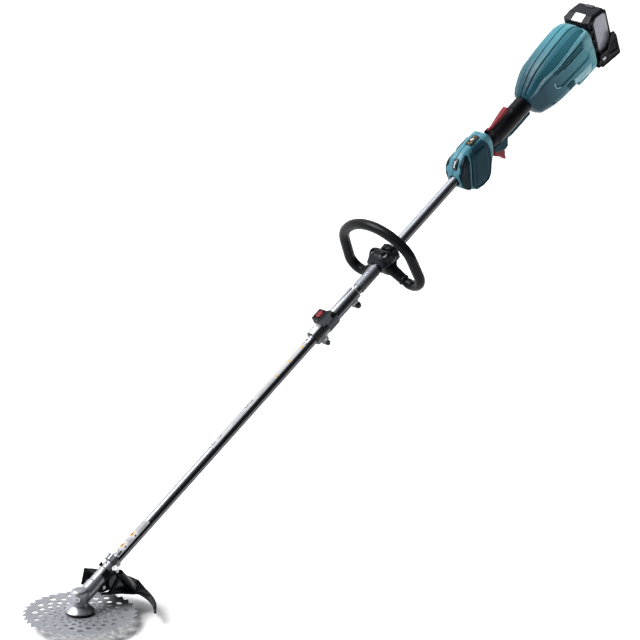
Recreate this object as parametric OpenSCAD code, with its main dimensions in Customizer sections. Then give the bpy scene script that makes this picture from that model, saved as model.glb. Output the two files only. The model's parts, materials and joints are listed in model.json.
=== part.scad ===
// Brush cutter with a split pipe, a round saw blade and a battery power unit.
// The row's origin is under the blade, on the centre of the ground cup's lower face.
// +Z runs up the blade spindle, +X runs back to the operator, +Y is the operator's right.

/* [Sub-part] */
// Sub-part to draw, or "all"

/* [Pipe] */
// Angle between the pipe and the blade
pipe_angle = 30; // [20:1:45]
// Outside diameter of both pipes
pipe_od = 22; // [18:0.5:28]
// Wall thickness of both pipes
pipe_wall = 1.5; // [1:0.1:3]
// Distance from the spindle to the lower pipe's lower end
lower_start = 66; // [60:1:80]
// Distance from the spindle to the lower pipe's upper end
lower_end = 868; // [860:1:900]
// Distance from the spindle to the upper pipe's lower end
upper_start = 872; // [870:1:910]
// Distance from the spindle to the upper pipe's upper end
upper_end = 1539.9; // [1530:0.1:1560]
// Diameter of the drive shaft
shaft_d = 7; // [6:0.5:10]

/* [Blade] */
// Diameter of the saw blade over its teeth
blade_d = 230; // [200:5:255]
// Thickness of the saw blade
blade_t = 1.8; // [1.2:0.1:3]
// Number of teeth
teeth = 36; // [24:2:60]
// Depth of a tooth
tooth_depth = 7; // [4:0.5:10]
// Height of the blade's lower face above the ground cup's lower face
blade_z = 24; // [18:1:30]
// Number of holes in each ring of the blade
ring_holes = 15; // [8:1:20]
// Diameter of the blade's centre hole
blade_bore = 25.4; // [20:0.1:30]

/* [Gear head] */
// Radius of the gear head
head_r = 15.7; // [14:0.1:22]
// Height of the pipe axis above the blade where it meets the spindle
axis_above_blade = 29; // [24:1:40]
// Teeth of the gear on the drive shaft
pinion_teeth = 14; // [10:1:20]
// Teeth of the gear on the spindle
gear_teeth = 19; // [12:1:30]

/* [Coupling] */
// Outside diameter of the coupling tube
coupling_od = 29; // [26:0.5:34]
// Distance from the spindle to the coupling's lower end
coupling_start = 768; // [750:1:790]
// Distance from the spindle to the coupling tube's upper end
coupling_end = 907; // [890:1:920]

/* [Loop handle] */
// Distance from the spindle to the middle of the handle clamp
handle_s = 1005; // [990:1:1100]
// Diameter of the handle's grip tube
loop_d = 22; // [18:0.5:28]
// Lean of the loop towards the operator
loop_tilt = 6; // [0:0.5:25]

/* [Power unit] */
// Half width of the motor housing
housing_hw = 46; // [40:1:52]
// Wall thickness of the moulded housings
shell_t = 2.6; // [2:0.1:4]
// Half width of the control box
box_hw = 24; // [20:1:30]
// Radius of the rear grip
grip_r = 20.5; // [18:0.5:24]

/* [Battery] */
// Length of the battery along its slide
battery_h = 108; // [90:1:120]
// Depth of the battery
battery_d = 62; // [50:1:70]
// Width of the battery
battery_w = 75; // [65:1:80]
// Lean of the battery and its rail
battery_tilt = 12; // [0:0.5:20]

/* [Hidden] */
round_fn = 64;
axis_z = blade_z + axis_above_blade;
run = 0.03; // radial clearance of a running fit

teal = [0.23, 0.55, 0.61];
dark_teal = [0.08, 0.23, 0.29];
black = [0.07, 0.07, 0.08];
red = [0.55, 0.2, 0.22];
alloy = [0.78, 0.79, 0.81];
steel = [0.62, 0.63, 0.65];
grey = [0.3, 0.31, 0.33];

// ---- frames and helpers ----

// Local frame of the pipe: X runs up the pipe, Y to the right, Z out of its upper side
module along(s = 0, h = 0) {
    translate([0, 0, axis_z]) rotate([0, -pipe_angle, 0]) translate([s, 0, h]) children();
}

// Solid cylinder along local X
module rod(r, l) {
    rotate([0, 90, 0]) cylinder(r = r, h = l, $fn = round_fn);
}

// Ring along local X
module ring(ro, ri, l) {
    difference() {
        rod(ro, l);
        translate([-1, 0, 0]) rod(ri, l + 2);
    }
}

// Upright ring
module ring_z(ro, ri, h) {
    difference() {
        cylinder(r = ro, h = h, $fn = round_fn);
        translate([0, 0, -1]) cylinder(r = ri, h = h + 2, $fn = round_fn);
    }
}

// Side outline in local X and Z, drawn across from y0 to y1
module side(pts, y0, y1) {
    translate([0, y1, 0]) rotate([90, 0, 0]) linear_extrude(y1 - y0) polygon(pts);
}

// Cross-section in local Y and Z, drawn along the pipe from s0 to s1
module section(pts, s0, s1) {
    translate([s0, 0, 0]) rotate([90, 0, 90]) linear_extrude(s1 - s0) polygon(pts);
}

// Box between two corners
module block(a, b) {
    translate(a) cube(b - a);
}

// Screw along local Z with its head on top at z = 0
module screw(r, l, head_r, head_h) {
    translate([0, 0, -l]) cylinder(r = r, h = l + 0.1, $fn = 24);
    difference() {
        cylinder(r = head_r, h = head_h, $fn = 24);
        translate([0, 0, head_h / 2]) cylinder(r = head_r * 0.5, h = head_h, $fn = 6);
    }
}

function unit(v) = v / norm(v);
function turn(p, i) = p[(i + len(p)) % len(p)];
function area2(p) = [for (i = [0:len(p) - 1]) cross(turn(p, i), turn(p, i + 1))]
    * [for (i = p) 1];

// Outline with every corner eased over the length d
function eased(p, d, n = 3) = [
    for (i = [0:len(p) - 1])
        let (a = turn(p, i - 1), b = p[i], c = turn(p, i + 1))
        let (u = unit(a - b) * min(d, 0.45 * norm(a - b)), v = unit(c - b) * min(d, 0.45 * norm(c - b)))
        for (k = [0:n])
            let (t = k / n)
            (1 - t) * (1 - t) * (b + u) + 2 * t * (1 - t) * b + t * t * (b + v)
];

// Outline moved inwards by d
function inset(p, d) = let (w = area2(p) > 0 ? 1 : -1) [
    for (i = [0:len(p) - 1])
        let (e = unit(p[i] - turn(p, i - 1)), f = unit(turn(p, i + 1) - p[i]))
        let (m = [-e[1], e[0]], n = [-f[1], f[0]])
        p[i] + w * d * (m + n) / (1 + m * n)
];

// ---- gear head ----

module head_outline(g) {
    polygon([
        [0, 50 + g], [head_r - g, 50 + g], [head_r - g, 67], [head_r - g - 1, 71 - g / 2],
        [head_r - g - 4.5, 75.2 - g], [head_r - g - 10, 77.6 - g], [0, 78 - g]
    ]);
}

module gear_case() color(alloy) difference() {
    union() {
        translate([0, 0, blade_z - 24]) rotate_extrude($fn = round_fn) head_outline(0);
        along(8) rod(14, 107);
        along(76) rod(15.4, 5);
        along() block([99, -8, 8], [114, 8, 23]);
    }
    translate([0, 0, blade_z - 24]) rotate_extrude($fn = round_fn) head_outline(3);
    translate([0, 0, 30]) cylinder(r = 17.3, h = 20, $fn = round_fn);
    translate([0, 0, 49]) cylinder(r = 12, h = 6, $fn = round_fn);
    translate([0, 0, 66]) cylinder(r = 8.51, h = 8.65, $fn = round_fn);
    along(0) rod(10.5, 58);
    along(0) rod(9, 70);
    along(lower_start) rod(pipe_od / 2, 60);
    along() block([99, -1, 5], [116, 1, 30]);
    along() translate([106.5, 20, 17.5]) rotate([90, 0, 0]) cylinder(r = 2.6, h = 40, $fn = 24);
    translate([0, 0, 62]) rotate([0, 0, 215]) rotate([0, 90, 0])
        cylinder(r = 4, h = 30, $fn = 32);
}

module grease_plug() color(steel) translate([0, 0, 62]) rotate([0, 0, 215]) rotate([0, 90, 0]) {
    translate([0, 0, 12.9]) cylinder(r = 3.95, h = 3.4, $fn = 32);
    difference() {
        translate([0, 0, 16.2]) cylinder(r = 6, h = 4, $fn = 6);
        translate([0, 0, 18.4]) cylinder(r = 2.5, h = 4, $fn = 6);
    }
}

module skirt_cone() color(alloy) translate([0, 0, blade_z - 24]) rotate_extrude($fn = round_fn)
    polygon([
        [26.6, 31], [30, 31], [30, 32.6], [26, 37.2], [20.5, 42.2], [17.2, 46.5],
        [head_r, 49.98], [11.99, 49.98], [11.99, 46], [15, 43.5], [18.5, 39.5], [22, 36]
    ]);

module seal_ring() color(black) translate([0, 0, blade_z - 24]) rotate_extrude($fn = round_fn)
    polygon([[25.4, 28], [29.2, 28], [29.6, 30.98], [26.62, 30.98], [25.4, 30.2]]);

module bearings() color(steel) {
    translate([0, 0, 42]) difference() {
        cylinder(r = 11.98, h = 7, $fn = round_fn);
        translate([0, 0, -1]) cylinder(r = 5 + run, h = 9, $fn = round_fn);
    }
    translate([0, 0, 71.2]) ring_z(8.5, 3.5 + run, 3.4);
    along(30) ring(10.48, 4 + run, 9);
    along(44) ring(10.48, 4 + run, 9);
}

// ---- shafts ----

module spindle() color(steel) {
    translate([0, 0, 2.4]) cylinder(r = 5, h = 47.6, $fn = round_fn);
    translate([0, 0, 49.9]) cylinder(r = 4, h = 19, $fn = round_fn);
    translate([0, 0, 68.8]) cylinder(r = 3.5, h = 5.3, $fn = round_fn);
    translate([0, 0, 36]) cylinder(r = 7, h = 5.5, $fn = round_fn);
}

module bevel(teeth_n, r, cone, l, bore, side_up) {
    // toothed cone with its apex at the frame's origin
    pitch = r / sin(cone);
    difference() {
        rotate_extrude($fn = round_fn) polygon([
            [bore, (pitch - l) * cos(cone)], [(pitch - l) * sin(cone) - 1.1, (pitch - l) * cos(cone)],
            [r - 1.1, pitch * cos(cone)], [r - 1.1, pitch * cos(cone) + side_up],
            [bore, pitch * cos(cone) + side_up]
        ]);
    }
    for (i = [0:teeth_n - 1]) rotate([0, 0, i * 360 / teeth_n]) rotate([0, cone, 0])
        translate([-1.6, -0.42, pitch - l + 0.3]) cube([2.1, 0.84, l - 0.3]);
}

gear_cone = atan(sin(90 - pipe_angle) / (pinion_teeth / gear_teeth + cos(90 - pipe_angle)));
pinion_cone = 90 - pipe_angle - gear_cone;
gear_pitch_r = 9.6;
cone_length = gear_pitch_r / sin(gear_cone);

module output_gear() color(steel) translate([0, 0, axis_z]) rotate([0, 0, 180 / gear_teeth])
    bevel(gear_teeth, gear_pitch_r, gear_cone, 4.5, 4, 1.5);

module pinion() color(steel) along() rotate([0, 90, 0])
    bevel(pinion_teeth, cone_length * sin(pinion_cone), pinion_cone, 4.5, shaft_d / 2, 5);

module lower_shaft() color(steel) along() {
    translate([13.5, 0, 0]) rod(shaft_d / 2, lower_end + 2 - 13.5);
    translate([22.6, 0, 0]) rod(4, 32);
    block([lower_end, -2.3, -2.3], [lower_end + 34, 2.3, 2.3]);
}

module shaft_bushes() color(black) along()
    for (s = [150, 310, 470, 630, 790]) translate([s, 0, 0])
        ring(pipe_od / 2 - pipe_wall - 0.02, shaft_d / 2 + run, 18);

module upper_bushes() color(black) along()
    for (s = [960, 1110, 1260, 1410]) translate([s, 0, 0])
        ring(pipe_od / 2 - pipe_wall - 0.02, shaft_d / 2 + run, 18);

// ---- blade set ----

module receive_washer() color(steel) translate([0, 0, blade_z - 24]) rotate_extrude($fn = round_fn)
    polygon([
        [5, 25.8], [23, 25.8], [23, 28.2], [14, 30.5], [10.5, 35.98], [5, 35.98]
    ]);

module tooth_ring() {
    r = blade_d / 2;
    step = 360 / teeth;
    polygon([
        for (i = [0:teeth - 1]) let (a = -i * step)
            for (q = [[r - 0.6, 0], [r - 2.2, 2.6], [r - tooth_depth, 6.6], [r - tooth_depth, 8.2]])
                q[0] * [cos(a - q[1]), sin(a - q[1])]
    ]);
}

module saw_blade() color(steel) translate([0, 0, blade_z]) difference() {
    linear_extrude(blade_t) tooth_ring();
    translate([0, 0, -1]) cylinder(r = blade_bore / 2, h = 9, $fn = round_fn);
    for (i = [0:teeth - 1]) rotate([0, 0, -i * 360 / teeth])
        translate([blade_d / 2 - 4.6, 0.05, -1]) cube([6, 6, 4]);
    for (k = [0:5]) {
        step = 360 / ring_holes;
        rr = blade_d / 2 * [0.345, 0.425, 0.505, 0.595, 0.69, 0.79][k];
        hd = [6.2, 7.4, 8.6, 9.8, 11, 12][k];
        for (i = [0:ring_holes - 1]) rotate([0, 0, (i + k / 2) * step]) translate([rr, 0, -1])
            cylinder(d = hd, h = 9, $fn = 24);
    }
}

module blade_tips() color(alloy) translate([0, 0, blade_z])
    for (i = [0:teeth - 1]) rotate([0, 0, -i * 360 / teeth])
        translate([blade_d / 2 - 4.6, 0.05, -0.35]) cube([4.6, 1.3, blade_t + 0.7]);

module clamp_washer() color(steel) translate([0, 0, blade_z - 24])
    rotate_extrude($fn = round_fn) polygon([
        [5, 20], [17, 20], [21, 21.6], [21, 23.98], [12.66, 23.98], [12.66, 25.7], [5, 25.7]
    ]);

module ground_cup() color(steel) rotate_extrude($fn = round_fn) polygon([
    [0, 0], [20, 0], [30, 3], [36, 8], [38, 13.5], [36, 14.5], [34.2, 9.6], [28.8, 5.4],
    [19, 2.4], [9.4, 2.4], [9.4, 12.6], [16, 16], [16, 19.98], [10.6, 19.98], [10.6, 17.4], [7.4, 14.4],
    [7.4, 2.39], [0, 2.39]
]);

module blade_nut() color(steel) translate([0, 0, 11.6]) difference() {
    union() {
        translate([0, 0, 5.9]) cylinder(r = 10.3, h = 2.4, $fn = round_fn);
        translate([0, 0, -4]) cylinder(r = 7.2, h = 10, $fn = 6);
    }
    translate([0, 0, -8]) cylinder(r = 5, h = 20, $fn = round_fn);
}

// ---- blade guard ----

guard_r = 152;
guard_low = 29;

// Height of the guard's roof over the row's Y axis: it falls away to the left
function roof_line(g) = [
    [120, 62 - g], [14, 59 - g], [-10, 58 - g], [-20, 53 - g], [-34, 47.6 - g], [-50, 45 - g],
    [-96, 41.5 - g], [-130, 38 - g]
];

// Frame of the roof: it falls a little to the back too
module roof_frame() {
    translate([0, 0, 3.1]) rotate([0, 3, 0]) children();
}

module guard_shell() color(black) difference() {
    union() {
        // wall round the back of the blade
        intersection() {
            translate([0, 0, guard_low]) rotate([0, 0, -48]) rotate_extrude(angle = 96, $fn = 96)
                translate([guard_r - 3, 0]) square([3, 40]);
            roof_frame() section(concat(roof_line(0), [[-130, 20], [120, 20]]), 60, 200);
        }
        // roof that joins the wall to the gear head
        intersection() {
            roof_frame() section(concat(roof_line(0), [for (i = [7:-1:0]) roof_line(3)[i]]), 40, 200);
            translate([0, 0, 20]) cylinder(r = guard_r - 1, h = 60, $fn = 96);
            linear_extrude(90) polygon(eased([
                [44, 15], [72, 24], [108, 56], [112, 110], [170, 60], [170, -110], [112, -108],
                [122, -84], [134, -62], [131, -44], [90, -25], [52, -15], [44, -13]
            ], 8));
        }
        // strut up to the strap on the neck
        difference() {
            translate([84, -24, 94]) rotate([0, 0, 15.5]) rotate([0, 50, 0])
                block([8, -7, -10], [72, 7, 10]);
            roof_frame() section(concat(roof_line(1.5), [[-130, 0], [120, 0]]), 20, 220);
        }
    }
    along(0) rod(17.4, 220);
    along() block([80, -34, -7], [104, -10, 10]);
    translate([0, 0, 20]) block([40, -90, 0], [108, 12, 22]);
    for (q = [[54, 8], [54, -8], [66, 8], [66, -8]]) {
        translate([q[0], q[1], 40]) cylinder(r = 2.2, h = 24, $fn = 24);
        translate([q[0], q[1], 40]) cylinder(r = 4.2, h = 15.5, $fn = 32);
    }
}

module guard_clamp() color(black) {
    // bracket under the neck
    difference() {
        block([46, -11, 50], [72, 11, 92]);
        roof_frame() section(concat([for (v = roof_line(-0.02)) v], [[-130, 0], [120, 0]]), 0, 200);
        along() rod(14.02, 200);
        along(75.98) rod(15.42, 5.04);
        for (q = [[54, 8], [54, -8], [66, 8], [66, -8]]) translate([q[0], q[1], 50])
            cylinder(r = 2.02, h = 18, $fn = 24);
    }
    // strap round the neck with a lug on its left
    along() difference() {
        union() {
            translate([85, 0, 0]) rod(17.2, 13);
            block([86, -31, -6], [97, -14, -1]);
            block([86, -31, 1], [97, -14, 6]);
        }
        translate([80, 0, 0]) rod(14.02, 30);
        translate([91.5, -25, -20]) cylinder(r = 2.6, h = 40, $fn = 24);
        block([80, -40, -1], [110, -10, 1]);
    }
}

module head_bolts() color(steel) {
    // four under the roof, one through the strap's lug, one through the neck's ears
    for (q = [[54, 8], [54, -8], [66, 8], [66, -8]]) translate([q[0], q[1], 55.48])
        rotate([180, 0, 0]) screw(2, 9, 3.8, 3.4);
    along() translate([91.5, -25, 6]) screw(2.5, 15, 4.4, 4.4);
    along() translate([106.5, -8, 17.5]) rotate([90, 0, 0]) screw(2.5, 20, 4.4, 4.5);
    along() translate([106.5, 8, 17.5]) rotate([-90, 0, 0]) difference() {
        cylinder(r = 4.4, h = 3.6, $fn = 6);
        translate([0, 0, -1]) cylinder(r = 2.55, h = 6, $fn = 24);
    }
}

module lower_pipe() color(alloy) along(lower_start) ring(pipe_od / 2, pipe_od / 2 - pipe_wall,
    lower_end - lower_start);

// ---- coupling ----

module main_pipe() color(alloy) along(upper_start) ring(pipe_od / 2, pipe_od / 2 - pipe_wall,
    upper_end - upper_start);

module coupling_tube() color(alloy) along() difference() {
    translate([780, 0, 0]) ring(coupling_od / 2, pipe_od / 2 + run, coupling_end - 780);
    translate([899, 0, -20]) cylinder(r = 3.1, h = 12, $fn = 32);
}

module coupling_collar() color(grey) along() difference() {
    union() {
        translate([coupling_start, 0, 0]) rod(16.5, 37);
        for (i = [0:3]) translate([coupling_start + 1 + i * 5, 0, 0]) rod(17.8, 2.6);
        block([779, -9, -24.6], [797, 9, -8]);
    }
    translate([760, 0, 0]) rod(pipe_od / 2 + run, 30);
    translate([779.98, 0, 0]) rod(coupling_od / 2 + 0.02, 40);
    block([770, -4.6, -26], [804, 4.6, -15.4]);
    translate([788, 20, -20]) rotate([90, 0, 0]) cylinder(r = 1.5, h = 40, $fn = 32);
}

module coupling_body() color(grey) along() difference() {
    union() {
        translate([805.02, 0, 0]) rod(17.6, 32);
        section(eased([[-13, 5], [13, 5], [13.5, 27], [11.5, 33.5], [-11.5, 33.5], [-13.5, 27]], 2),
            794, 823);
    }
    translate([760, 0, 0]) rod(coupling_od / 2 + 0.02, 110);
    translate([760, 0, 0]) rod(17.9, 45.01);
    block([798.5, -7.5, 21], [818.5, 7.5, 38]);
}

module release_button() color(red) along() {
    block([798.7, -7.3, 25], [818.3, 7.3, 34.6]);
    block([801.5, -5, 34.5], [815.5, 5, 35.8]);
}

module clamp_lever() color(black) along() difference() {
    union() {
        side(eased([
            [784.6, -21], [791.4, -21], [796, -28], [800, -37], [795, -43], [788, -39], [785, -28]
        ], 3), -4.4, 4.4);
        translate([788, 4.4, -20]) rotate([90, 0, 0]) cylinder(r = 4.2, h = 8.8, $fn = 32);
    }
    translate([788, 20, -20]) rotate([90, 0, 0]) cylinder(r = 1.5 + run, h = 40, $fn = 32);
}

module coupling_screws() color(steel) along() {
    translate([788, 9, -20]) rotate([90, 0, 0]) cylinder(r = 1.5, h = 18, $fn = 32);
    difference() {
        translate([899, 0, -22]) cylinder(r = 6.5, h = 11, $fn = 48);
        translate([880, 0, 0]) rod(coupling_od / 2 + 0.01, 40);
        translate([899, 0, -30]) cylinder(r = 3 + run, h = 30, $fn = 32);
    }
}

module thumb_knob() color(black) along() {
    translate([899, 0, -24.6]) cylinder(r = 3, h = 13.2, $fn = 32);
    translate([899, 0, -29]) cylinder(r = 5.5, h = 6.5, $fn = 32);
    for (y = [-7, 7]) translate([899, y, -31]) cylinder(r = 5.6, h = 6.5, $fn = 32);
    block([895, -7, -31], [903, 7, -25]);
}

module spacer_sleeve() color(grey) along() difference() {
    union() {
        translate([921, 0, 0]) rod(12.4, 60);
        for (i = [0:11]) translate([923 + i * 4.7, 0, 0]) rod(13.1, 2.3);
    }
    translate([900, 0, 0]) rod(pipe_od / 2, 100);
}

module drive_socket() color(steel) along() difference() {
    translate([873, 0, 0]) rod(6.5, 45);
    block([860, -2.4, -2.4], [906, 2.4, 2.4]);
    translate([907, 0, 0]) rod(shaft_d / 2, 20);
}

module upper_shaft() color(steel) along() {
    translate([907.5, 0, 0]) rod(shaft_d / 2, 750);
}

// ---- loop handle ----

arc_top_r = 115;
arc_top_a = 45;
arc_up_r = 52;
side_a = 84;
arc_low_r = 31;
arm_a = 220;
loop_top = 97;
side_len = 42;
b1 = [arc_top_r * sin(arc_top_a), loop_top - arc_top_r + arc_top_r * cos(arc_top_a)];
c_up = b1 - arc_up_r * [sin(arc_top_a), cos(arc_top_a)];
b2 = c_up + arc_up_r * [sin(side_a), cos(side_a)];
b3 = b2 + side_len * [cos(side_a), -sin(side_a)];
c_low = b3 - arc_low_r * [sin(side_a), cos(side_a)];
b4 = c_low + arc_low_r * [sin(arm_a), cos(arm_a)];
arm_len = 40;

module loop_arc(c, r, from_a, to_a, grow = 0) {
    // the corner arcs are a touch thicker and reach a little into their neighbours
    over = grow > 0 ? 1 : 0;
    translate(c) rotate([0, 0, 90 - to_a - over])
        rotate_extrude(angle = to_a - from_a + 2 * over, $fn = 96)
            translate([r, 0]) circle(r = loop_d / 2 + grow, $fn = 32);
}

module loop_bar(p, a, l) {
    translate(p) rotate([0, 0, -a]) rotate([0, 90, 0]) cylinder(d = loop_d, h = l, $fn = 32);
}

module loop_frame() {
    along(handle_s - 0.4) rotate([0, loop_tilt, 0]) rotate([90, 0, 90]) children();
}

module handle_loop() color(black) loop_frame() {
    loop_arc([0, loop_top - arc_top_r], arc_top_r, -arc_top_a, arc_top_a);
    for (m = [0, 1]) mirror([m, 0, 0]) {
        loop_arc(c_up, arc_up_r, arc_top_a, side_a, 0.15);
        loop_bar(b2, side_a, side_len);
        loop_arc(c_low, arc_low_r, side_a, arm_a - 1, 0.15);
    }
}

module handle_clamp_base() color(black) difference() {
    union() {
        along() side(eased([
            [handle_s - 18, -0.4], [handle_s - 18, -16], [handle_s - 12, -24], [handle_s + 12, -24],
            [handle_s + 18, -16], [handle_s + 18, -0.4]
        ], 3), -24, 24);
        along(handle_s, -27) cylinder(r = 7, h = 8, $fn = 48);
        loop_frame() for (m = [0, 1]) mirror([m, 0, 0]) translate(b4) rotate([0, 0, -arm_a])
            rotate([0, 90, 0]) {
                translate([0, 0, 0.02]) cylinder(r = 12.6, h = 4, $fn = 48);
                translate([0, 0, 0.02]) cylinder(r = 11.6, h = arm_len, $fn = 48);
            }
    }
    along() {
        block([handle_s - 40, -27.4, -0.4], [handle_s + 40, 27.4, 50]);
        translate([handle_s - 30, 0, 0]) rod(pipe_od / 2 + run, 60);
        for (y = [-17.5, 17.5]) translate([handle_s, y, -40]) cylinder(r = 2.6, h = 60, $fn = 24);
    }
}

module handle_clamp_top() color(black) along() difference() {
    intersection() {
        section(eased([
            [-25, 0.4], [25, 0.4], [27, 9], [23, 21], [13, 28.5], [-13, 28.5], [-23, 21], [-27, 9]
        ], 5), handle_s - 20, handle_s + 19);
        side(eased([
            [handle_s - 20, 0.3], [handle_s + 19, 0.3], [handle_s + 19, 20], [handle_s + 8, 29],
            [handle_s - 6, 29], [handle_s - 20, 15]
        ], 5), -30, 30);
    }
    translate([handle_s - 30, 0, 0]) rod(pipe_od / 2 + run, 60);
    for (y = [-17.5, 17.5]) {
        translate([handle_s, y, -1]) cylinder(r = 2.6, h = 40, $fn = 24);
        translate([handle_s, y, 18]) cylinder(r = 4.8, h = 40, $fn = 32);
    }
}

module handle_bolts() color(steel) along()
    for (y = [-17.5, 17.5]) translate([handle_s, y, 18]) screw(2.5, 36, 4.4, 3.6);

module lock_ring() color(black) along() difference() {
    union() {
        translate([handle_s + 19.4, 0, 0]) rod(20.5, 14);
        for (i = [0:11]) rotate([i * 30, 0, 0]) translate([handle_s + 20.4, 0, 20.2])
            rod(2.2, 12);
    }
    translate([handle_s, 0, 0]) rod(pipe_od / 2 + run, 60);
}

// ---- control box ----

box_side = [
    [1256, -14], [1261, -23], [1284, -43], [1304, -49.5], [1325, -49.5], [1343, -36], [1364, -13],
    [1378, 10], [1379.4, 24], [1373, 38], [1352, 44.6], [1312, 46.6], [1300, 45], [1284, 39.6],
    [1264, 22], [1257, 6]
];
box_plan = [
    [1255, -12], [1262, -21], [1272, -box_hw], [1364, -box_hw], [1375, -21], [1380, -12],
    [1380, 12], [1375, 21], [1364, box_hw], [1272, box_hw], [1262, 21], [1255, 12]
];
box_section = [
    [-box_hw, -56], [box_hw, -56], [box_hw, 24], [box_hw - 5, 37], [box_hw - 13, 46], [0, 47.4],
    [13 - box_hw, 46], [5 - box_hw, 37], [-box_hw, 24]
];

module box_solid(g) {
    intersection() {
        side(inset(eased(box_side, 7), g), -box_hw - 2, box_hw + 2);
        section(inset(eased(box_section, 5), g), 1240, 1390);
        translate([0, 0, -80]) linear_extrude(160) polygon(inset(eased(box_plan, 5), g));
    }
}

module panel_frame(s, h, a) {
    translate([s, 0, h]) rotate([0, a, 0]) children();
}

module control_box() {
    difference() {
        box_solid(0);
        box_solid(shell_t);
        translate([1240, 0, 0]) rod(pipe_od / 2 + 0.01, 160);
        panel_frame(1346, 43.6, 6) block([-15.2, -8.2, -6], [15.2, 8.2, 20]);
        panel_frame(1275, 33, -41) block([-12.2, -10.2, -8], [12.2, 2.2, 20]);
        for (s = [1290, 1330]) translate([s, 0, -32]) rotate([90, 0, 0])
            cylinder(r = 1.6, h = 30, $fn = 24);
    }
    for (s = [1290, 1330]) translate([s, 0, -32]) rotate([90, 0, 0]) translate([0, 0, -22])
        ring_z(3.6, 1.6, 44);
}

module half(side_sign) {
    intersection() {
        children();
        translate([1200, side_sign > 0 ? 0.02 : -80.02, -120]) cube([620, 80, 260]);
    }
}

module control_box_left() color(teal) along() half(-1) control_box();
module control_box_right() color(teal) along() half(1) control_box();

module side_panels() color(dark_teal) along() difference() {
    intersection() {
        for (q = [[0, 2.4], [1, 3]]) intersection() {
            side(eased(q[0] == 0 ? [
                [1258.4, -16], [1262, -24], [1270, -32], [1275, -24], [1289, 8], [1303, 39], [1294, 40],
                [1276, 32], [1263, 15]
            ] : [
                [1284, -41], [1304, -48], [1324, -48], [1335, -41], [1351, -17], [1359, 8], [1359, 22],
                [1352, 37], [1318, 40], [1309, 36], [1295, 5], [1280, -28]
            ], 3), -60, 60);
            section(inset(box_section, -q[1]), 1240, 1390);
        }
        translate([0, 0, -80]) linear_extrude(160) polygon(inset(box_plan, -1.6));
    }
    block([1240, -13, -80], [1400, 13, 80]);
    box_solid(-0.02);
}

module display_panel() color(black) along() panel_frame(1346, 43.6, 6) difference() {
    block([-15, -8, -4], [15, 8, 1.2]);
    translate([0, 0, -10]) cylinder(r = 5 + 0.1, h = 30, $fn = 48);
}

module power_button() color(alloy) along() panel_frame(1346, 43.6, 6) {
    translate([0, 0, -3.6]) cylinder(r = 5, h = 6, $fn = 48);
}

module reverse_button() color(black) along() panel_frame(1275, 33, -41)
    block([-12, -10, -4], [12, 2, 2]);

module control_board() color([0.1, 0.35, 0.2]) along() {
    block([1290, -17, 13], [1344, 17, 14.6]);
    block([1300, -6, 14.5], [1312, 6, 18]);
    translate([1324, 10, 14.5]) cylinder(r = 3, h = 6, $fn = 24);
}

// ---- rear grip and trigger ----

module grip_sleeve() color(black) along() difference() {
    union() {
        translate([1380.2, 0, 0]) rod(17, 16);
        translate([1396, 0, 0]) rod(grip_r, 109.9);
        for (y = [-10.6, 7.4]) side(eased([[1384, 8], [1402, 8], [1400, 29], [1389, 29]], 3), y, y + 3.2);
        block([1400, -7, -26], [1500, 7, -8]);
    }
    translate([1300, 0, 0]) rod(pipe_od / 2, 300);
    block([1383, -7.4, 17.5], [1404, 7.4, 40]);
    translate([1394.5, 20, 24.5]) rotate([90, 0, 0]) cylinder(r = 2.5 + run, h = 40, $fn = 32);
    block([1340, -14, -60], [1432, 14, -11.5]);
}

module trigger_housing() color(dark_teal) along() difference() {
    union() {
        side(eased([
            [1378, -11.52], [1377, -22], [1384, -28], [1404, -38], [1414, -37], [1420, -24],
            [1430, -16], [1431, -11.52]
        ], 3), -13, 13);
    }
    side([[1370, -30], [1380, -15], [1415, -15], [1421, -19], [1414, -42], [1390, -50]], -10.4, 10.4);
    translate([1385, 20, -21]) rotate([90, 0, 0]) cylinder(r = 2 + run, h = 40, $fn = 32);
    translate([1300, 0, 0]) rod(pipe_od / 2 + 0.02, 300);
}

module trigger() color(red) along() {
    side(eased([
        [1381, -18], [1386, -16.5], [1400, -27], [1409, -37], [1404, -47], [1399, -59], [1394, -60],
        [1391, -49], [1384, -41], [1376, -36], [1373, -31]
    ], 3), -9.8, 9.8);
    translate([1385, 12.6, -21]) rotate([90, 0, 0]) cylinder(r = 2, h = 25.2, $fn = 32);
}

module trigger_spring() color(steel) along()
    for (i = [0:3]) translate([1398 + i * 1.1, 0, -22.4 + i * 1.6]) rotate([0, 40, 0])
        ring_z(2.6, 1.8, 0.8);

module lock_lever() color(red) along() {
    side(eased([
        [1390.6, 21.3], [1401, 21.9], [1430, 23.6], [1457, 25.8], [1461, 28], [1456, 32.6],
        [1428, 31], [1402, 28.4], [1390.6, 28]
    ], 1.6), -7.2, 7.2);
    translate([1394.5, 10.4, 24.5]) rotate([90, 0, 0]) cylinder(r = 2.5, h = 20.8, $fn = 32);
}

// ---- motor housing ----

housing_side = [
    [1507, 14], [1514, -18], [1518, -27], [1530, -34], [1547, -40], [1566, -45], [1600, -49],
    [1632, -53], [1646, -60], [1695.6, -60], [1713.9, 26], [1713.4, 38], [1709, 48.6],
    [1701, 57.6], [1690, 64], [1677, 66.8], [1660, 66.4], [1620, 63.4], [1585, 58.6], [1562, 52.6], [1544, 45], [1526, 34.6], [1510, 24]
];
housing_plan = [
    [1506, -15], [1513, -22], [1524, -26.5], [1545, -32], [1560, -38], [1578, -43],
    [1600, -housing_hw], [1660, -housing_hw], [1676, -43.6], [1724, -42.4],
    [1724, 42.4], [1676, 43.6], [1660, housing_hw], [1600, housing_hw], [1578, 43], [1560, 38],
    [1545, 32], [1524, 26.5], [1513, 22], [1506, 15]
];

function both_sides(half) = concat(half, [for (i = [len(half) - 1:-1:0]) [-half[i][0], half[i][1]]]);

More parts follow.
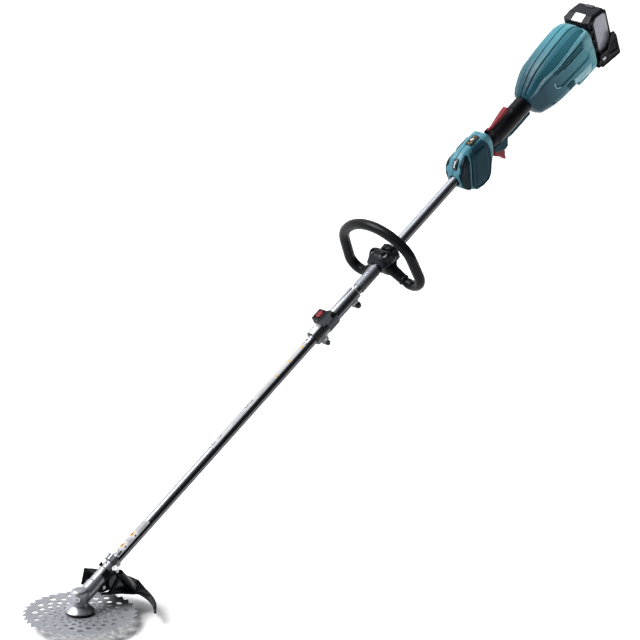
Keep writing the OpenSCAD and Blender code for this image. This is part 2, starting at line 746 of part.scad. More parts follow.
// Cross-section from the bottom up, and the deeper one at the back
housing_section = both_sides([
    [17, -54], [29, -47], [41, -36.5], [45.6, -27], [housing_hw, 0], [45, 33], [38.6, 48],
    [27, 60], [11, 67.4]
]);
rear_section = both_sides([[24, -61], [39, -50], [45.8, -38], [44, 0], [26, 20]]);

module housing_solid() {
    intersection() {
        side(eased(housing_side, 6, 2), -60, 60);
        union() {
            section(eased(housing_section, 6, 2), 1490, 1740);
            section(eased(rear_section, 6, 2), 1634, 1740);
        }
        translate([0, 0, -100]) linear_extrude(200) polygon(eased(housing_plan, 6, 2));
    }
}

module housing_hollow() {
    intersection() {
        side(inset(housing_side, shell_t), -60, 60);
        union() {
            section(inset(housing_section, shell_t), 1490, 1740);
            section(inset(rear_section, shell_t), 1634 + shell_t, 1740);
        }
        translate([0, 0, -100]) linear_extrude(200) polygon(inset(housing_plan, shell_t));
    }
}

screw_spots = [[1553, -31], [1672, 47], [1672, -47], [1553, 35]];

module motor_housing() {
    difference() {
        housing_solid();
        difference() {
            housing_hollow();
            // posts for the screws
            for (p = screw_spots) translate([p[0], 60, p[1]]) rotate([90, 0, 0])
                cylinder(r = 4, h = 120, $fn = 32);
            // front wall that holds the pipe, and the rings that hold the motor
            translate([1532, 0, 0]) rod(40, 8);
            translate([1539, 0, 0]) ring(17.5, 14.02, 10);
            translate([1596, 0, 0]) ring(60, 37, 6);
            translate([1639, 0, 0]) ring(60, 14.02, 7);
        }
        translate([1490, 0, 0]) rod(pipe_od / 2 + 0.01, 49.9);
        translate([1530, 0, 0]) rod(9, 20);
        for (p = screw_spots) translate([p[0], 90, p[1]]) rotate([90, 0, 0])
            cylinder(r = 1.6, h = 180, $fn = 24);
        for (p = screw_spots) translate([p[0], -90, p[1]]) rotate([-90, 0, 0])
            cylinder(r = 3.2, h = 58, $fn = 24);
        // air slots above and below
        for (m = [-1, 1]) {
            for (i = [0:2]) block([1598 + i * 17.4, m > 0 ? 35 : -60, 36.2 - i * 4],
                [1680 - i * 3, m > 0 ? 60 : -35, 38.4 - i * 4]);
            for (i = [0:4]) block([1600 + i * 1.4, m > 0 ? 35 : -60, -19.4 - i * 4],
                [1618 + i * 1.4, m > 0 ? 60 : -35, -17.2 - i * 4]);
        }
    }
}

module housing_left() color(teal) along() half(-1) motor_housing();
module housing_right() color(teal) along() half(1) motor_housing();

module housing_screws() color(steel) along()
    for (p = screw_spots) translate([p[0], -32, p[1]]) rotate([90, 0, 0])
        screw(1.55, 40, 3.1, 2.4);

module motor_stator() color(steel) along() {
    difference() {
        translate([1590, 0, 0]) ring(36.9, 20.5, 36);
        for (i = [0:8]) rotate([i * 40, 0, 0]) translate([1580, 0, 26])
            rod(4.2, 60);
    }
    translate([1540.2, 0, 0]) ring(14, 5 + run, 8);
    difference() {
        translate([1638, 0, 0]) rod(14, 9);
        translate([1630, 0, 0]) rod(5 + run, 20);
    }
}

module rotor() color(steel) along() {
    translate([1592, 0, 0]) ring(20, shaft_d / 2, 32);
    translate([1540.4, 0, 0]) ring(5, shaft_d / 2, 51.5);
    translate([1624.1, 0, 0]) ring(5, shaft_d / 2, 22);
}

module fan() color(black) along() {
    translate([1566, 0, 0]) difference() {
        union() {
            rod(9, 12);
            rod(31, 2);
            for (i = [0:8]) rotate([i * 40, 0, 0]) block([1, -0.9, 8], [11.4, 0.9, 29]);
        }
        translate([-1, 0, 0]) rod(5, 20);
    }
}

module controller() color(grey) along() {
    block([1602.02, -20, 41], [1638.98, 20, 48]);
    for (i = [0:3]) block([1605 + i * 9, -18, 47.9], [1608 + i * 9, 18, 52]);
}

// ---- battery ----

// Frame on the battery's rail: X back, Z along the slide, Z = 0 at the battery's top edge
module rail_frame() {
    along(1722.5, 57) rotate([0, battery_tilt, 0]) children();
}

module battery_terminal() color(black) rail_frame() {
    block([-1.9, -30, -battery_h + 4], [1.5, 30, -8]);
    block([1.4, -21.7, -battery_h + 6], [11.5, 21.7, -12]);
    block([5.6, -26.5, -battery_h + 6], [8.4, 26.5, -12]);
}

module battery_case() color(black) rail_frame() difference() {
    union() {
        translate([2, -battery_w / 2, -battery_h]) linear_extrude(battery_h - 6)
            polygon(eased([[0, 0], [battery_d, 0], [battery_d, battery_w], [0, battery_w]], 6));
        translate([8, -battery_w / 2 + 5, -7]) linear_extrude(7)
            polygon(eased([[0, 0], [battery_d - 14, 0], [battery_d - 14, battery_w - 10],
                [0, battery_w - 10]], 5));
    }
    block([0, -22, -battery_h - 5], [12, 22, -11.4]);
    block([5.2, -26.9, -battery_h - 5], [8.8, 26.9, -11.4]);
    block([48, -12.2, -12], [57, 12.2, 2]);
}

module battery_button() color(grey) rail_frame() {
    block([48.2, -12, -7.5], [56.8, 12, 1.4]);
}

module battery_guard() color(grey) rail_frame() {
    z0 = -battery_h - 4;
    block([-1.9, -46, z0], [67.5, 46, z0 + 3.6]);
    difference() {
        for (m = [0, 1]) mirror([0, m, 0]) side(eased([
            [-17, z0 + 34], [27, z0 + 54], [57, z0 + 58], [68, z0 + 42], [68, z0], [-11, z0 - 3],
            [-24, z0 + 9]
        ], 4), 43.7, 46.9);
        side([[31, z0 + 16], [54, z0 + 10.5], [56, z0 + 35]], -60, 60);
        side([[5, z0 + 9], [13, z0 + 9], [13, z0 + 13], [5, z0 + 13]], -60, 60);
        for (q = [[-8, z0 + 16.5], [-6, z0 + 4.5]]) translate([q[0], 60, q[1]]) rotate([90, 0, 0])
            cylinder(r = 1.7, h = 120, $fn = 24);
    }
    block([64.1, -46, z0], [67.5, 46, z0 + 12]);
}

// ---- assembly ----

lower_pipe();
gear_case();
skirt_cone();
seal_ring();
grease_plug();
head_bolts();
bearings();
shaft_bushes();
guard_shell();
guard_clamp();
upper_bushes();
lower_shaft();
pinion();
spindle();
output_gear();
receive_washer();
saw_blade();
blade_tips();
clamp_washer();
ground_cup();
blade_nut();
main_pipe();
coupling_tube();
coupling_body();
coupling_collar();
coupling_screws();
clamp_lever();
release_button();
thumb_knob();
spacer_sleeve();
drive_socket();
upper_shaft();
rotor();
fan();
handle_loop();
handle_clamp_top();
handle_clamp_base();
handle_bolts();
lock_ring();
control_box_left();
control_box_right();
side_panels();
display_panel();
power_button();
reverse_button();
control_board();
grip_sleeve();
trigger_housing();
trigger();
trigger_spring();
lock_lever();
housing_left();
housing_right();
housing_screws();
motor_stator();
controller();
battery_terminal();
battery_guard();
battery_case();
battery_button();
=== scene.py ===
"""Brush cutter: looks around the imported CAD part.

Shapes are modelled in millimetres, in the pipe's frame or in the row's own frame, and
placed in metres. Soft moulded forms are distance fields turned into meshes; turned parts
are revolved profiles; tubes are swept.
"""
import functools
import json
import math

import bmesh
import bpy
import numpy as np
import openvdb
from mathutils import Matrix, Vector


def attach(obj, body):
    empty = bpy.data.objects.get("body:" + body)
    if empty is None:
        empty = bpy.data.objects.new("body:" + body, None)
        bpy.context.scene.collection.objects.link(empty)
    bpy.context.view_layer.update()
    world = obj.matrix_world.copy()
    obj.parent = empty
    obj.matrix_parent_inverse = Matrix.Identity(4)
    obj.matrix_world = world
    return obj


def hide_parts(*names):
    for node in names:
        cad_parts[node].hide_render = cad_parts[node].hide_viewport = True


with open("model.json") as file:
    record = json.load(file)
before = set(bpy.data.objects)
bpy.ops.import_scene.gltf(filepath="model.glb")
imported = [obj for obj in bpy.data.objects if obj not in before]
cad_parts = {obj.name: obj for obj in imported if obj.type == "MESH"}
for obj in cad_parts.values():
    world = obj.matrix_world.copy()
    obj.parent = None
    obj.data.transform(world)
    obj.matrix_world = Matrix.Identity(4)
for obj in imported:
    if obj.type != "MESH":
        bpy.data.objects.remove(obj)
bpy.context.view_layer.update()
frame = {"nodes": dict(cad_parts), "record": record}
NODES = frame["nodes"]


def tilt(x, y, z, axis="X", degrees=0):
    """Frame moved to a point and turned about one axis."""
    return Matrix.Translation((x, y, z)) @ Matrix.Rotation(math.radians(degrees), 4, axis)


AXIS_Z = 53.0  # where the pipe's centre line crosses the blade's axis
LEAN = math.radians(30)
ROW = Matrix.Identity(4)
# Pipe frame: X up the pipe, Y to the operator's right, Z out of the pipe's upper side
PIPE = Matrix.Translation((0, 0, AXIS_Z)) @ Matrix.Rotation(-LEAN, 4, "Y")
# Rail frame: Z up the battery's rails, X away from the housing
RAIL = PIPE @ tilt(1722.5, 0, 57, "Y", 12)
TO_M = Matrix.Scale(0.001, 4)
SIDES = (("left", 1), ("right", -1))
UNIT = "power_unit"


# ---- distance fields
class Grid:
    """Block of sample points in a local frame, in mm."""

    def __init__(self, lo, hi, step):
        self.lo = np.array(lo, np.float32)
        self.step = step
        n = [int(math.ceil((b - a) / step)) + 1 for a, b in zip(lo, hi)]
        axes = [np.float32(a) + np.float32(step) * np.arange(k, dtype=np.float32) for a,
            k in zip(lo, n)]
        self.x, self.y, self.z = np.meshgrid(*axes, indexing="ij", sparse=True)
        self.shape = tuple(n)

    def box(self, lo, hi, r=0.0):
        """Box with edges of radius r."""
        c = [(a + b) / 2 for a, b in zip(lo, hi)]
        h = [(b - a) / 2 - r for a, b in zip(lo, hi)]
        q = [abs(v - m) - k for v, m, k in zip((self.x, self.y, self.z), c, h)]
        out = np.sqrt(sum(np.maximum(v, 0) ** 2 for v in q))
        return out + np.minimum(np.maximum(q[0], np.maximum(q[1], q[2])), 0) - r

    def tube(self, axis, u, v, r, lo=-1e6, hi=1e6, edge=0.0):
        """Cylinder along an axis through (u, v) of the other two, from lo to hi."""
        along = (self.x, self.y, self.z)[axis]
        a, b = [(self.y, self.z), (self.x, self.z), (self.x, self.y)][axis]
        side = np.sqrt((a - u) ** 2 + (b - v) ** 2) - r
        cap = np.maximum(along - hi, lo - along)
        return smax(side, cap, edge) if edge else np.maximum(side, cap)

    def ball(self, c, r):
        return np.sqrt((self.x - c[0]) ** 2 + (self.y - c[1]) ** 2 + (self.z - c[2]) ** 2) - r

    def capsule(self, a, b, ra, rb=None):
        """Rod between two points with round ends, which may taper."""
        rb = ra if rb is None else rb
        a, b = np.array(a, np.float32), np.array(b, np.float32)
        d = b - a
        px, py, pz = self.x - a[0], self.y - a[1], self.z - a[2]
        t = np.clip((px * d[0] + py * d[1] + pz * d[2]) / float(d @ d), 0, 1)
        dist = np.sqrt((px - t * d[0]) ** 2 + (py - t * d[1]) ** 2 + (pz - t * d[2]) ** 2)
        return dist - (ra + (rb - ra) * t)

    def outline(self, plane, pts):
        """Distance to a polygon drawn in plane "xz", "yz" or "xy", negative inside."""
        u, v = {"xz": (self.x, self.z), "yz": (self.y, self.z), "xy": (self.x, self.y)}[plane]
        return polygon_distance(u, v, pts)

    def along_pipe(self):
        """Way along the pipe, height over it and distance from its centre, in the row's frame."""
        c, sn = math.cos(LEAN), math.sin(LEAN)
        s = self.x * c + (self.z - AXIS_Z) * sn
        h = -self.x * sn + (self.z - AXIS_Z) * c
        return s, h, np.sqrt(h ** 2 + self.y ** 2)


def line_distance(u, v, p, q):
    """Squared distance to the line between two points."""
    p, q = np.array(p, np.float32), np.array(q, np.float32)
    e = q - p
    wu, wv = u - p[0], v - p[1]
    t = np.clip((wu * e[0] + wv * e[1]) / float(e @ e), 0, 1)
    return (wu - e[0] * t) ** 2 + (wv - e[1] * t) ** 2


def polygon_distance(u, v, pts):
    best, inside = np.inf, False
    pts = np.array(pts, np.float32)
    for p, q in zip(pts, np.roll(pts, -1, 0)):
        best = np.minimum(best, line_distance(u, v, p, q))
        e = q - p
        if abs(e[1]) > 1e-9:
            inside = inside ^ (((p[1] > v) != (q[1] > v)) & (u < p[0] + e[0] * (v - p[1]) / e[1]))
    return np.where(inside, -1, 1) * np.sqrt(best)


def pairs(more):
    return zip(more[::2], more[1::2])


def smin(a, *more):
    """Union with other shapes, each followed by the size of its fillet."""
    for b, k in pairs(more):
        h = np.maximum(k - abs(a - b), 0) / k
        a = np.minimum(a, b) - h * h * k / 4
    return a


def smax(a, *more):
    """Intersection with other shapes, each followed by the size of its eased edge."""
    for b, k in pairs(more):
        a = -smin(-a, -b, k)
    return a


def cut(a, *more):
    """Shape less other ones, each followed by the size of its eased edge."""
    for b, k in pairs(more):
        a = smax(a, -b, k)
    return a


def points(text):
    """Points written as "x,y x,y"."""
    return [tuple(float(v) for v in point.split(",")) for point in text.split()]


def both(half):
    """Outline mirrored about its first coordinate, from the bottom up."""
    return half + [(-a, b) for a, b in reversed(half)]


def inset(pts, d):
    """Outline moved inwards by d."""
    pts = np.array(pts, float)
    e = pts - np.roll(pts, 1, 0)
    f = np.roll(pts, -1, 0) - pts
    e /= np.linalg.norm(e, axis=1)[:, None]
    f /= np.linalg.norm(f, axis=1)[:, None]
    area = sum(p[0] * q[1] - q[0] * p[1] for p, q in zip(pts, np.roll(pts, -1, 0)))
    m = np.stack([-e[:, 1], e[:, 0]], 1)
    n = np.stack([-f[:, 1], f[:, 0]], 1)
    return pts + (1 if area > 0 else -1) * d * (m + n) / (1 + (m * n).sum(1))[:, None]


def soft(grid, plane, pts, r):
    """Outline with corners of radius r."""
    return grid.outline(plane, inset(pts, r)) - r


def table_at(where, table, column=1):
    """Value of a table's column, drawn through its first column."""
    return np.interp(where.ravel(), table[:, 0], table[:,
        column]).reshape(where.shape).astype(np.float32)


# ---- making pieces
RELAX = 2  # rounds of smoothing on a mesh made from a field
SHARP = 38  # edges of turned parts above this angle stay sharp, in degrees


def finish_piece(mesh, mat, body, replaced="", sharp=None):
    """Piece that rides on a body; the CAD node that it stands for is hidden."""
    obj = bpy.data.objects.new(mesh.name, mesh)
    bpy.context.collection.objects.link(obj)
    mats = [mat] if isinstance(mat, str) else mat
    for m in mats:
        mesh.materials.append(MAT[m])
    mesh.polygons.foreach_set("use_smooth", [True] * len(mesh.polygons))
    if sharp:
        mesh.set_sharp_from_angle(angle=math.radians(sharp))
    mesh.update()
    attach(obj, body)
    if replaced:
        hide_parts(replaced)
    return obj


def mesh_of(bm, name, place):
    """Mesh in metres from one built in mm in a frame."""
    bm.transform(TO_M @ place)
    mesh = bpy.data.meshes.new(name)
    bm.to_mesh(mesh)
    bm.free()
    return mesh


def piece(name, grid, dist, place, mat, body, replaced="", ratio=0.5):
    """Turns a distance field into a mesh piece."""
    dist = np.ascontiguousarray(np.broadcast_to(dist, grid.shape), np.float32)
    lim = 3 * grid.step
    dist = np.clip(dist, -lim, lim)
    for axis in range(3):
        edge = [slice(None)] * 3
        for end in (0, -1):
            edge[axis] = end
            dist[tuple(edge)] = lim
    vdb = openvdb.FloatGrid(lim)
    vdb.copyFromArray(dist)
    pts, quads = vdb.convertToQuads(0.0)
    if not len(pts):
        raise RuntimeError(name + " is empty")
    raw = bpy.data.meshes.new("raw")
    raw.from_pydata((pts * grid.step + grid.lo).tolist(), [], quads.tolist())
    bm = bmesh.new()
    bm.from_mesh(raw)
    bpy.data.meshes.remove(raw)
    bmesh.ops.remove_doubles(bm, verts=bm.verts, dist=grid.step * 0.02)
    if bm.calc_volume(signed=True) < 0:
        bmesh.ops.reverse_faces(bm, faces=bm.faces)
    if place.determinant() < 0:
        bmesh.ops.reverse_faces(bm, faces=bm.faces)
    for _ in range(RELAX):
        bmesh.ops.smooth_vert(bm, verts=bm.verts, factor=0.35, use_axis_x=True, use_axis_y=True,
            use_axis_z=True)
    obj = finish_piece(mesh_of(bm, name, place), mat, body, replaced)
    if ratio < 1:
        obj.modifiers.new("decimate", "DECIMATE").ratio = ratio


def circle(n):
    """Cosine and sine at n even steps round a circle."""
    return [(math.cos(2 * math.pi * i / n), math.sin(2 * math.pi * i / n)) for i in range(n)]


def skin(bm, rings, closed):
    """Faces between rings of points, capped at the ends unless the last ring joins the first."""
    for a, b in zip(rings, rings[1:] + (rings[:1] if closed else [])):
        for i in range(len(a)):
            j = (i + 1) % len(a)
            bm.faces.new((a[i], a[j], b[j], b[i]))
    if not closed:
        bm.faces.new(list(reversed(rings[0])))
        bm.faces.new(rings[-1])


def lathe(name, place, profile, mat, body, replaced="", turns=96):
    """Revolves (radius, height) points about local Z."""
    bm = bmesh.new()
    skin(bm, [[bm.verts.new((r * c, r * s, z)) for c, s in circle(turns)] for r, z in profile],
        True)
    bmesh.ops.remove_doubles(bm, verts=bm.verts, dist=1e-4)
    bmesh.ops.recalc_face_normals(bm, faces=bm.faces)
    return finish_piece(mesh_of(bm, name, place), mat, body, replaced, SHARP)


def sweep(name, place, path, radius, mat, body, replaced="", sides=40):
    """Round tube along a list of points, its radius a function of 0..1."""
    pts = [Vector(p) for p in path]
    last = len(pts) - 1
    bm = bmesh.new()
    rings = []
    up = None
    for i, p in enumerate(pts):
        t = (pts[min(i + 1, last)] - pts[max(i - 1, 0)]).normalized()
        if up is None:
            up = t.orthogonal().normalized()
        up = (up - t * up.dot(t)).normalized()
        side = t.cross(up)
        rings.append([bm.verts.new(p + (up * c + side * s) * radius(i / last)) for c,
            s in circle(sides)])
    skin(bm, rings, False)
    bmesh.ops.recalc_face_normals(bm, faces=bm.faces)
    return finish_piece(mesh_of(bm, name, place), mat, body, replaced, 40)


def eased(pts, r=0.8, n=3):
    """Profile with each corner eased."""
    out = []
    m = len(pts)
    for i in range(m):
        a, b, c = Vector(pts[i - 1]), Vector(pts[i]), Vector(pts[(i + 1) % m])
        u, v = a - b, c - b
        ru, rv = min(r, u.length * 0.45), min(r, v.length * 0.45)
        p, q = b + u.normalized() * ru, b + v.normalized() * rv
        for k in range(n + 1):
            t = k / n
            out.append(tuple((1 - t) ** 2 * p + 2 * t * (1 - t) * b + t * t * q))
    return out


# ---- camera
VIEW = (-45.247, 19.442, -0.211)  # azimuth, elevation and roll in degrees
DISTANCE = 9.0
PX_PER_M = 500.2  # scale of the picture, 640 wide
AIM = (0.4797277, 0.5869766)  # middle of the picture, in m across and up it


def make_camera():
    azimuth, elevation, roll = (math.radians(v) for v in VIEW)
    flat = math.cos(elevation)
    back = Vector((math.sin(azimuth) * flat, -math.cos(azimuth) * flat, math.sin(elevation)))
    right = Vector((math.cos(azimuth), math.sin(azimuth), 0))
    up = back.cross(right)
    side = right * math.cos(roll) + up * math.sin(roll)
    top = up * math.cos(roll) - right * math.sin(roll)
    data = bpy.data.cameras.new("camera")
    data.sensor_width = 36
    data.lens = PX_PER_M * DISTANCE * data.sensor_width / 640
    data.clip_end = 100
    cam = bpy.data.objects.new("camera", data)
    bpy.context.collection.objects.link(cam)
    place = side * AIM[0] + top * AIM[1] + back * DISTANCE + Vector((0, 0, 0.024))
    cam.matrix_world = Matrix.Translation(place) @ Matrix((side, top, back)).transposed().to_4x4()
    bpy.context.scene.camera = cam


# ---- materials
class Nodes:
    """A short way to build the nodes of a material or a world."""

    def __init__(self, owner, shader="Principled BSDF"):
        owner.use_nodes = True
        self.mat = owner
        self.tree = owner.node_tree
        self.bsdf = self.tree.nodes[shader]

    def add(self, kind, **inputs):
        """New node; an input is a number, or a pair of a node and its output."""
        n = self.tree.nodes.new("ShaderNode" + kind)
        self.put(n, **inputs)
        return n

    def put(self, n, **inputs):
        for k, v in inputs.items():
            if isinstance(v, tuple) and hasattr(v[0], "outputs"):
                self.link(*v, n, k.replace("_", " "))
            else:
                n.inputs[k.replace("_", " ")].default_value = v

    def link(self, a, out, b, inp):
        self.tree.links.new(a.outputs[out], b.inputs[inp])

    def ramp(self, src, out, stops):
        n = self.add("ValToRGB")
        els = n.color_ramp.elements
        while len(els) < len(stops):
            els.new(0.5)
        for e, (pos, col) in zip(els, stops):
            e.position = pos
            e.color = (col, col, col, 1) if isinstance(col, (int, float)) else (*col, 1)
        self.link(src, out, n, "Fac")
        return n, "Color"

    def mix(self, fac, a, b, blend="MIX"):
        n = self.add("Mix")
        n.data_type = "RGBA"
        n.blend_type = blend
        for v, sock in ((fac, 0), (a, 6), (b, 7)):
            if isinstance(v, tuple) and hasattr(v[0], "outputs"):
                self.link(*v, n, sock)
            else:
                n.inputs[sock].default_value = v if sock == 0 else (*v, 1)
        return n, 2

    def finish(self, colour, drift, rough, fine, bump, **shader):
        """Joins colour, a roughness that drifts and a fine grain to the shader."""
        self.link(*colour, self.bsdf, "Base Color")
        r = self.add("MapRange")
        self.link(drift, "Fac", r, "Value")
        self.put(r, **rough)
        b = self.add("Bump", Strength=bump, Distance=0.0004)
        self.link(fine, "Fac", b, "Height")
        self.put(self.bsdf, Roughness=(r, "Result"), Normal=(b, "Normal"), **shader)
        return self.mat


# the way to the lit side; painted shade darkens a surface's colour on faces turned away from it
LIT = (-0.365, 0.684, 0.632)


def surface(name, base, rough, vary, grain, bump, spec, metal, wear, coat, wear_col, shade,
        streak=None, rough_vary=0.12):
    """Moulded, cast, painted or drawn surface: colour drift, roughness drift, grain, edge wear, and
    painted shade by the side a face turns to.
    """
    m = Nodes(bpy.data.materials.new(name))
    coord = (m.add("TexCoord"), "Object")
    src = coord
    if streak:
        src = (m.add("Mapping", Vector=coord, Rotation=(0, LEAN, 0), Scale=streak), "Vector")
    broad = m.add("TexNoise", Vector=coord, Scale=14.0, Detail=5.0, Roughness=0.6)
    fine = m.add("TexNoise", Vector=src, Scale=grain, Detail=3.0, Roughness=0.55)
    dark = tuple(c * (1 - vary) for c in base)
    light = tuple(min(1.0, c * (1 + vary) + 0.004) for c in base)
    last = m.ramp(broad, "Fac", [(0.3, dark), (0.7, light)])
    if streak:
        last = m.mix(1.0, last, m.ramp(fine, "Fac", [(0.25, 0.86), (0.75, 1)]), "MULTIPLY")
    if wear > 0:
        geo = m.add("NewGeometry")
        spots = m.add("TexNoise", Vector=coord, Scale=160.0, Detail=6.0, Roughness=0.7)
        edge = m.ramp(geo, "Pointiness", [(0.52, 0), (0.62, 1)])
        mask = m.ramp(spots, "Fac", [(0.45, 0), (0.62, 1)])
        edge_mix = m.mix(1.0, edge, mask, "MULTIPLY")
        amount = m.add("Math")
        amount.operation = "MULTIPLY"
        m.link(*edge_mix, amount, 0)
        amount.inputs[1].default_value = wear
        last = m.mix((amount, 0), last, wear_col)
    # painted shade: the colour darkens on faces turned away from LIT, by the tones in SHADES, which
    # also paint highlight and reflection bands
    if shade:
        side = m.add("VectorMath", Vector=(m.add("NewGeometry"), "Normal"))
        side.operation = "DOT_PRODUCT"
        side.inputs[1].default_value = LIT
        half = m.add("Math")
        half.operation = "MULTIPLY_ADD"
        half.inputs[1].default_value = half.inputs[2].default_value = 0.5
        m.link(side, "Value", half, 0)
        last = m.mix(1.0, last, m.ramp(half, "Value", shade), "MULTIPLY")
    drift = {"From_Min": 0.25, "From_Max": 0.75, "To_Min": max(0.03, rough - rough_vary * rough),
             "To_Max": min(1.0, rough + rough_vary * rough)}
    return m.finish(last, fine if streak else broad, drift, fine, bump, Metallic=metal,
        Coat_Weight=coat, Coat_Roughness=0.12, Specular_IOR_Level=spec)


def graded(name, near, far, axis, lo, hi, spec, coat=0.0, tail=None):
    """Moulded colour that changes from near to far along an axis of the pipe's frame, lo and hi in
    mm, and is lighter on sharp convex edges; on the housing and box shells and the band the change
    is painted shade.
    """
    m = Nodes(bpy.data.materials.new(name))
    coord = (m.add("TexCoord"), "Object")
    local = m.add("Mapping", Vector=coord, Rotation=(0, -LEAN, 0), Location=(0, 0, AXIS_Z / 1000))
    local.vector_type = "TEXTURE"
    part = m.add("SeparateXYZ", Vector=(local, "Vector"))
    along = m.add("MapRange", Value=(part, axis), From_Min=lo / 1000, From_Max=hi / 1000)
    broad = m.add("TexNoise", Vector=coord, Scale=18.0, Detail=5.0, Roughness=0.6)
    fine = m.add("TexNoise", Vector=coord, Scale=1500.0, Detail=3.0)
    # the change from near to far is painted shade on the shells and the band
    base = m.ramp(along, "Result", [(0, near), (0.84, far), (1, tail or far)])
    col = m.mix(1.0, base, m.ramp(broad, "Fac", [(0.3, 0.9), (0.7, 1)]), "MULTIPLY")
    # lighter on sharp convex edges
    edge = m.ramp(m.add("NewGeometry"), "Pointiness", [(0.53, 0), (0.62, 0.35)])
    edge_mix = m.mix(edge, col, tuple(min(1, c * 2.2 + 0.02) for c in far))
    return m.finish(edge_mix, broad, {"To_Min": 0.36 * 0.85, "To_Max": 0.36 * 1.2}, fine, 0.06,
        Coat_Weight=coat, Coat_Roughness=0.15, Specular_IOR_Level=spec)


# name, colour (3), roughness, colour drift, grain, bump, specular; then metal, edge wear, coat
SURFACES = """
alloy_pipe        0.5    0.525  0.58  0.24 0.04 60   0.02 0.5  1
cast_alloy        0.36   0.37   0.405 0.3  0.08 1500 0.12 0.5  0.8  0.3
steel             0.52   0.53   0.55  0.32 0.1  900  0.08 0.5  1    0.4
blade_steel       0.34   0.35   0.38  0.5  0.07 700  0.08 0.5  0.75 0.4
black_plastic     0.003  0.0035 0.005 0.28 0.25 1400 0.06 0.09 0    0.15
grey_plastic      0.03   0.033  0.04  0.36 0.18 1400 0.12 0.5  0    0.3
teal_plastic      0.075  0.3    0.37  0.33 0.06 1500 0.06 0.5  0    0.2  0.25
dark_teal_plastic 0.004  0.03   0.046 0.32 0.1  1500 0.05 0.07 0    0.25
red_plastic       0.16   0.011  0.018 0.32 0.1  1300 0.05 0.15 0    0.2
rubber            0.0022 0.0026 0.004 0.3  0.25 1100 0.06 0.1
copper_motor      0.35   0.2    0.11  0.4  0.2  800  0.2  0.5  1
board             0.02   0.12   0.05  0.4  0.3  300  0.1  0.5
satin_grey        0.27   0.285  0.33  0.42 0.08 900  0.04 0.5  0.5
vent_black        0.004  0.005  0.006 0.7  0.3  900  0.1  0.1
gloss_black       0.006  0.007  0.008 0.2  0.2  1300 0.02 0.4
cream             0.8    0.76   0.6   0.5  0.05 1300 0.02 0.5
pale_grey         0.55   0.58   0.62  0.4  0.06 1300 0.03 0.5
smoke_grey        0.3    0.31   0.36  0.3  0.12 1300 0.05 0.5  0    0.3  0.3
amber             0.5    0.29   0.04  0.45 0.08 1300 0.02 0.5
amber_ink         0.45   0.38   0.1   0.5  0.1  1300 0.02 0.5
print_grey        0.37   0.375  0.4   0.42 0.04 1300 0.02 0.5
bead_teal         0.22   0.44   0.49  0.36 0.05 1500 0.04 0.5
collar_metal      0.62   0.64   0.68  0.36 0.06 900  0.04 0.5  0.4
coupling_black    0.075  0.08   0.1   0.34 0.08 1300 0.04 0.12
paper             0.78   0.79   0.8   0.42 0.04 1300 0.02 0.5  0    0    0.3
ink               0.03   0.03   0.035 0.5  0.2  1300 0.02 0.5
saddle_black      0.006  0.007  0.011 0.28 0.2  1300 0.08 0.12 0    0.15
"""
WORN = {"cast_alloy": (0.7, 0.7, 0.72), "blade_steel": (0.85, 0.85, 0.88),
    "black_plastic": (0.09, 0.09, 0.1), "grey_plastic": (0.2, 0.2, 0.22),
    "teal_plastic": (0.3, 0.55, 0.6), "dark_teal_plastic": (0.08, 0.2, 0.24),
    "red_plastic": (0.5, 0.12, 0.12), "smoke_grey": (0.35, 0.36, 0.4),
    "saddle_black": (0.06, 0.06, 0.07)}
# painted shade, tones from the side away from the light (0) to the lit side (1); the narrow bright
# bands near the dark side of the pipe and collar are painted reflections, and the bright bands of
# the collar and coupling painted highlights
SHADES = {"alloy_pipe": ((0.0, 0.03), (0.10, 0.04), (0.14, 0.3), (0.17, 0.3), (0.21, 0.04),
    (0.36, 0.08), (0.46, 0.45), (0.60, 0.75), (0.75, 1.0), (0.95, 1.0), (1.0, 0.3)),
    "cast_alloy": ((0.1, 0.35), (0.35, 0.55), (0.55, 0.85), (0.75, 1.0)),
    "satin_grey": ((0.1, 0.15), (0.45, 0.15), (0.65, 0.8), (0.9, 1.0)),
    "collar_metal": ((0.0, 0.03), (0.10, 0.04), (0.14, 0.3), (0.19, 0.04), (0.62, 0.03),
    (0.72, 0.9), (0.95, 1.0), (1.0, 0.5)), "coupling_black": ((0.0, 0.05), (0.12, 0.08),
    (0.16, 1.0), (0.38, 0.9), (0.44, 0.05), (0.93, 0.05), (0.97, 1.0)),}
# near colour, far colour, axis, from and to in mm, specular, then coat and the colour at the far
# end; on the housing's shell and band and on the box's shell the change is painted shade, darker
# towards the front, and the shell's pale far end a painted highlight
GRADES = {"teal_shell": ((0.003, 0.040, 0.062), (0.055, 0.23, 0.29), "X", 1540, 1708, 0.22, 0.0,
    (0.17, 0.39, 0.44)), "teal_band": ((0.008, 0.058, 0.082), (0.045, 0.18, 0.23), "X", 1540, 1700,
    0.25), "teal_box": ((0.042, 0.165, 0.215), (0.075, 0.235, 0.29), "X", 1260, 1380, 0.25),
    "pale_teal": ((0.17, 0.38, 0.43), (0.22, 0.44, 0.49), "X", 1620, 1700, 0.4, 0.2),
    "near_black_teal": ((0.004, 0.018, 0.028), (0.002, 0.010, 0.016), "Z", -30, 20, 0.08),}


def make_materials():
    for row in SURFACES.split("\n")[1:-1]:
        name, *values = row.split()
        values = [float(v) for v in values] + [0.0] * (11 - len(values))
        drawn = {"streak": (0.6, 14, 14), "rough_vary": 0.25} if name == "alloy_pipe" else {}
        MAT[name] = surface(name, values[:3], *values[3:], WORN.get(name, (0.8, 0.8, 0.8)),
            SHADES.get(name), **drawn)
    for name, grade in GRADES.items():
        MAT[name] = graded(name, *grade)


MAT = {}
make_camera()
make_materials()


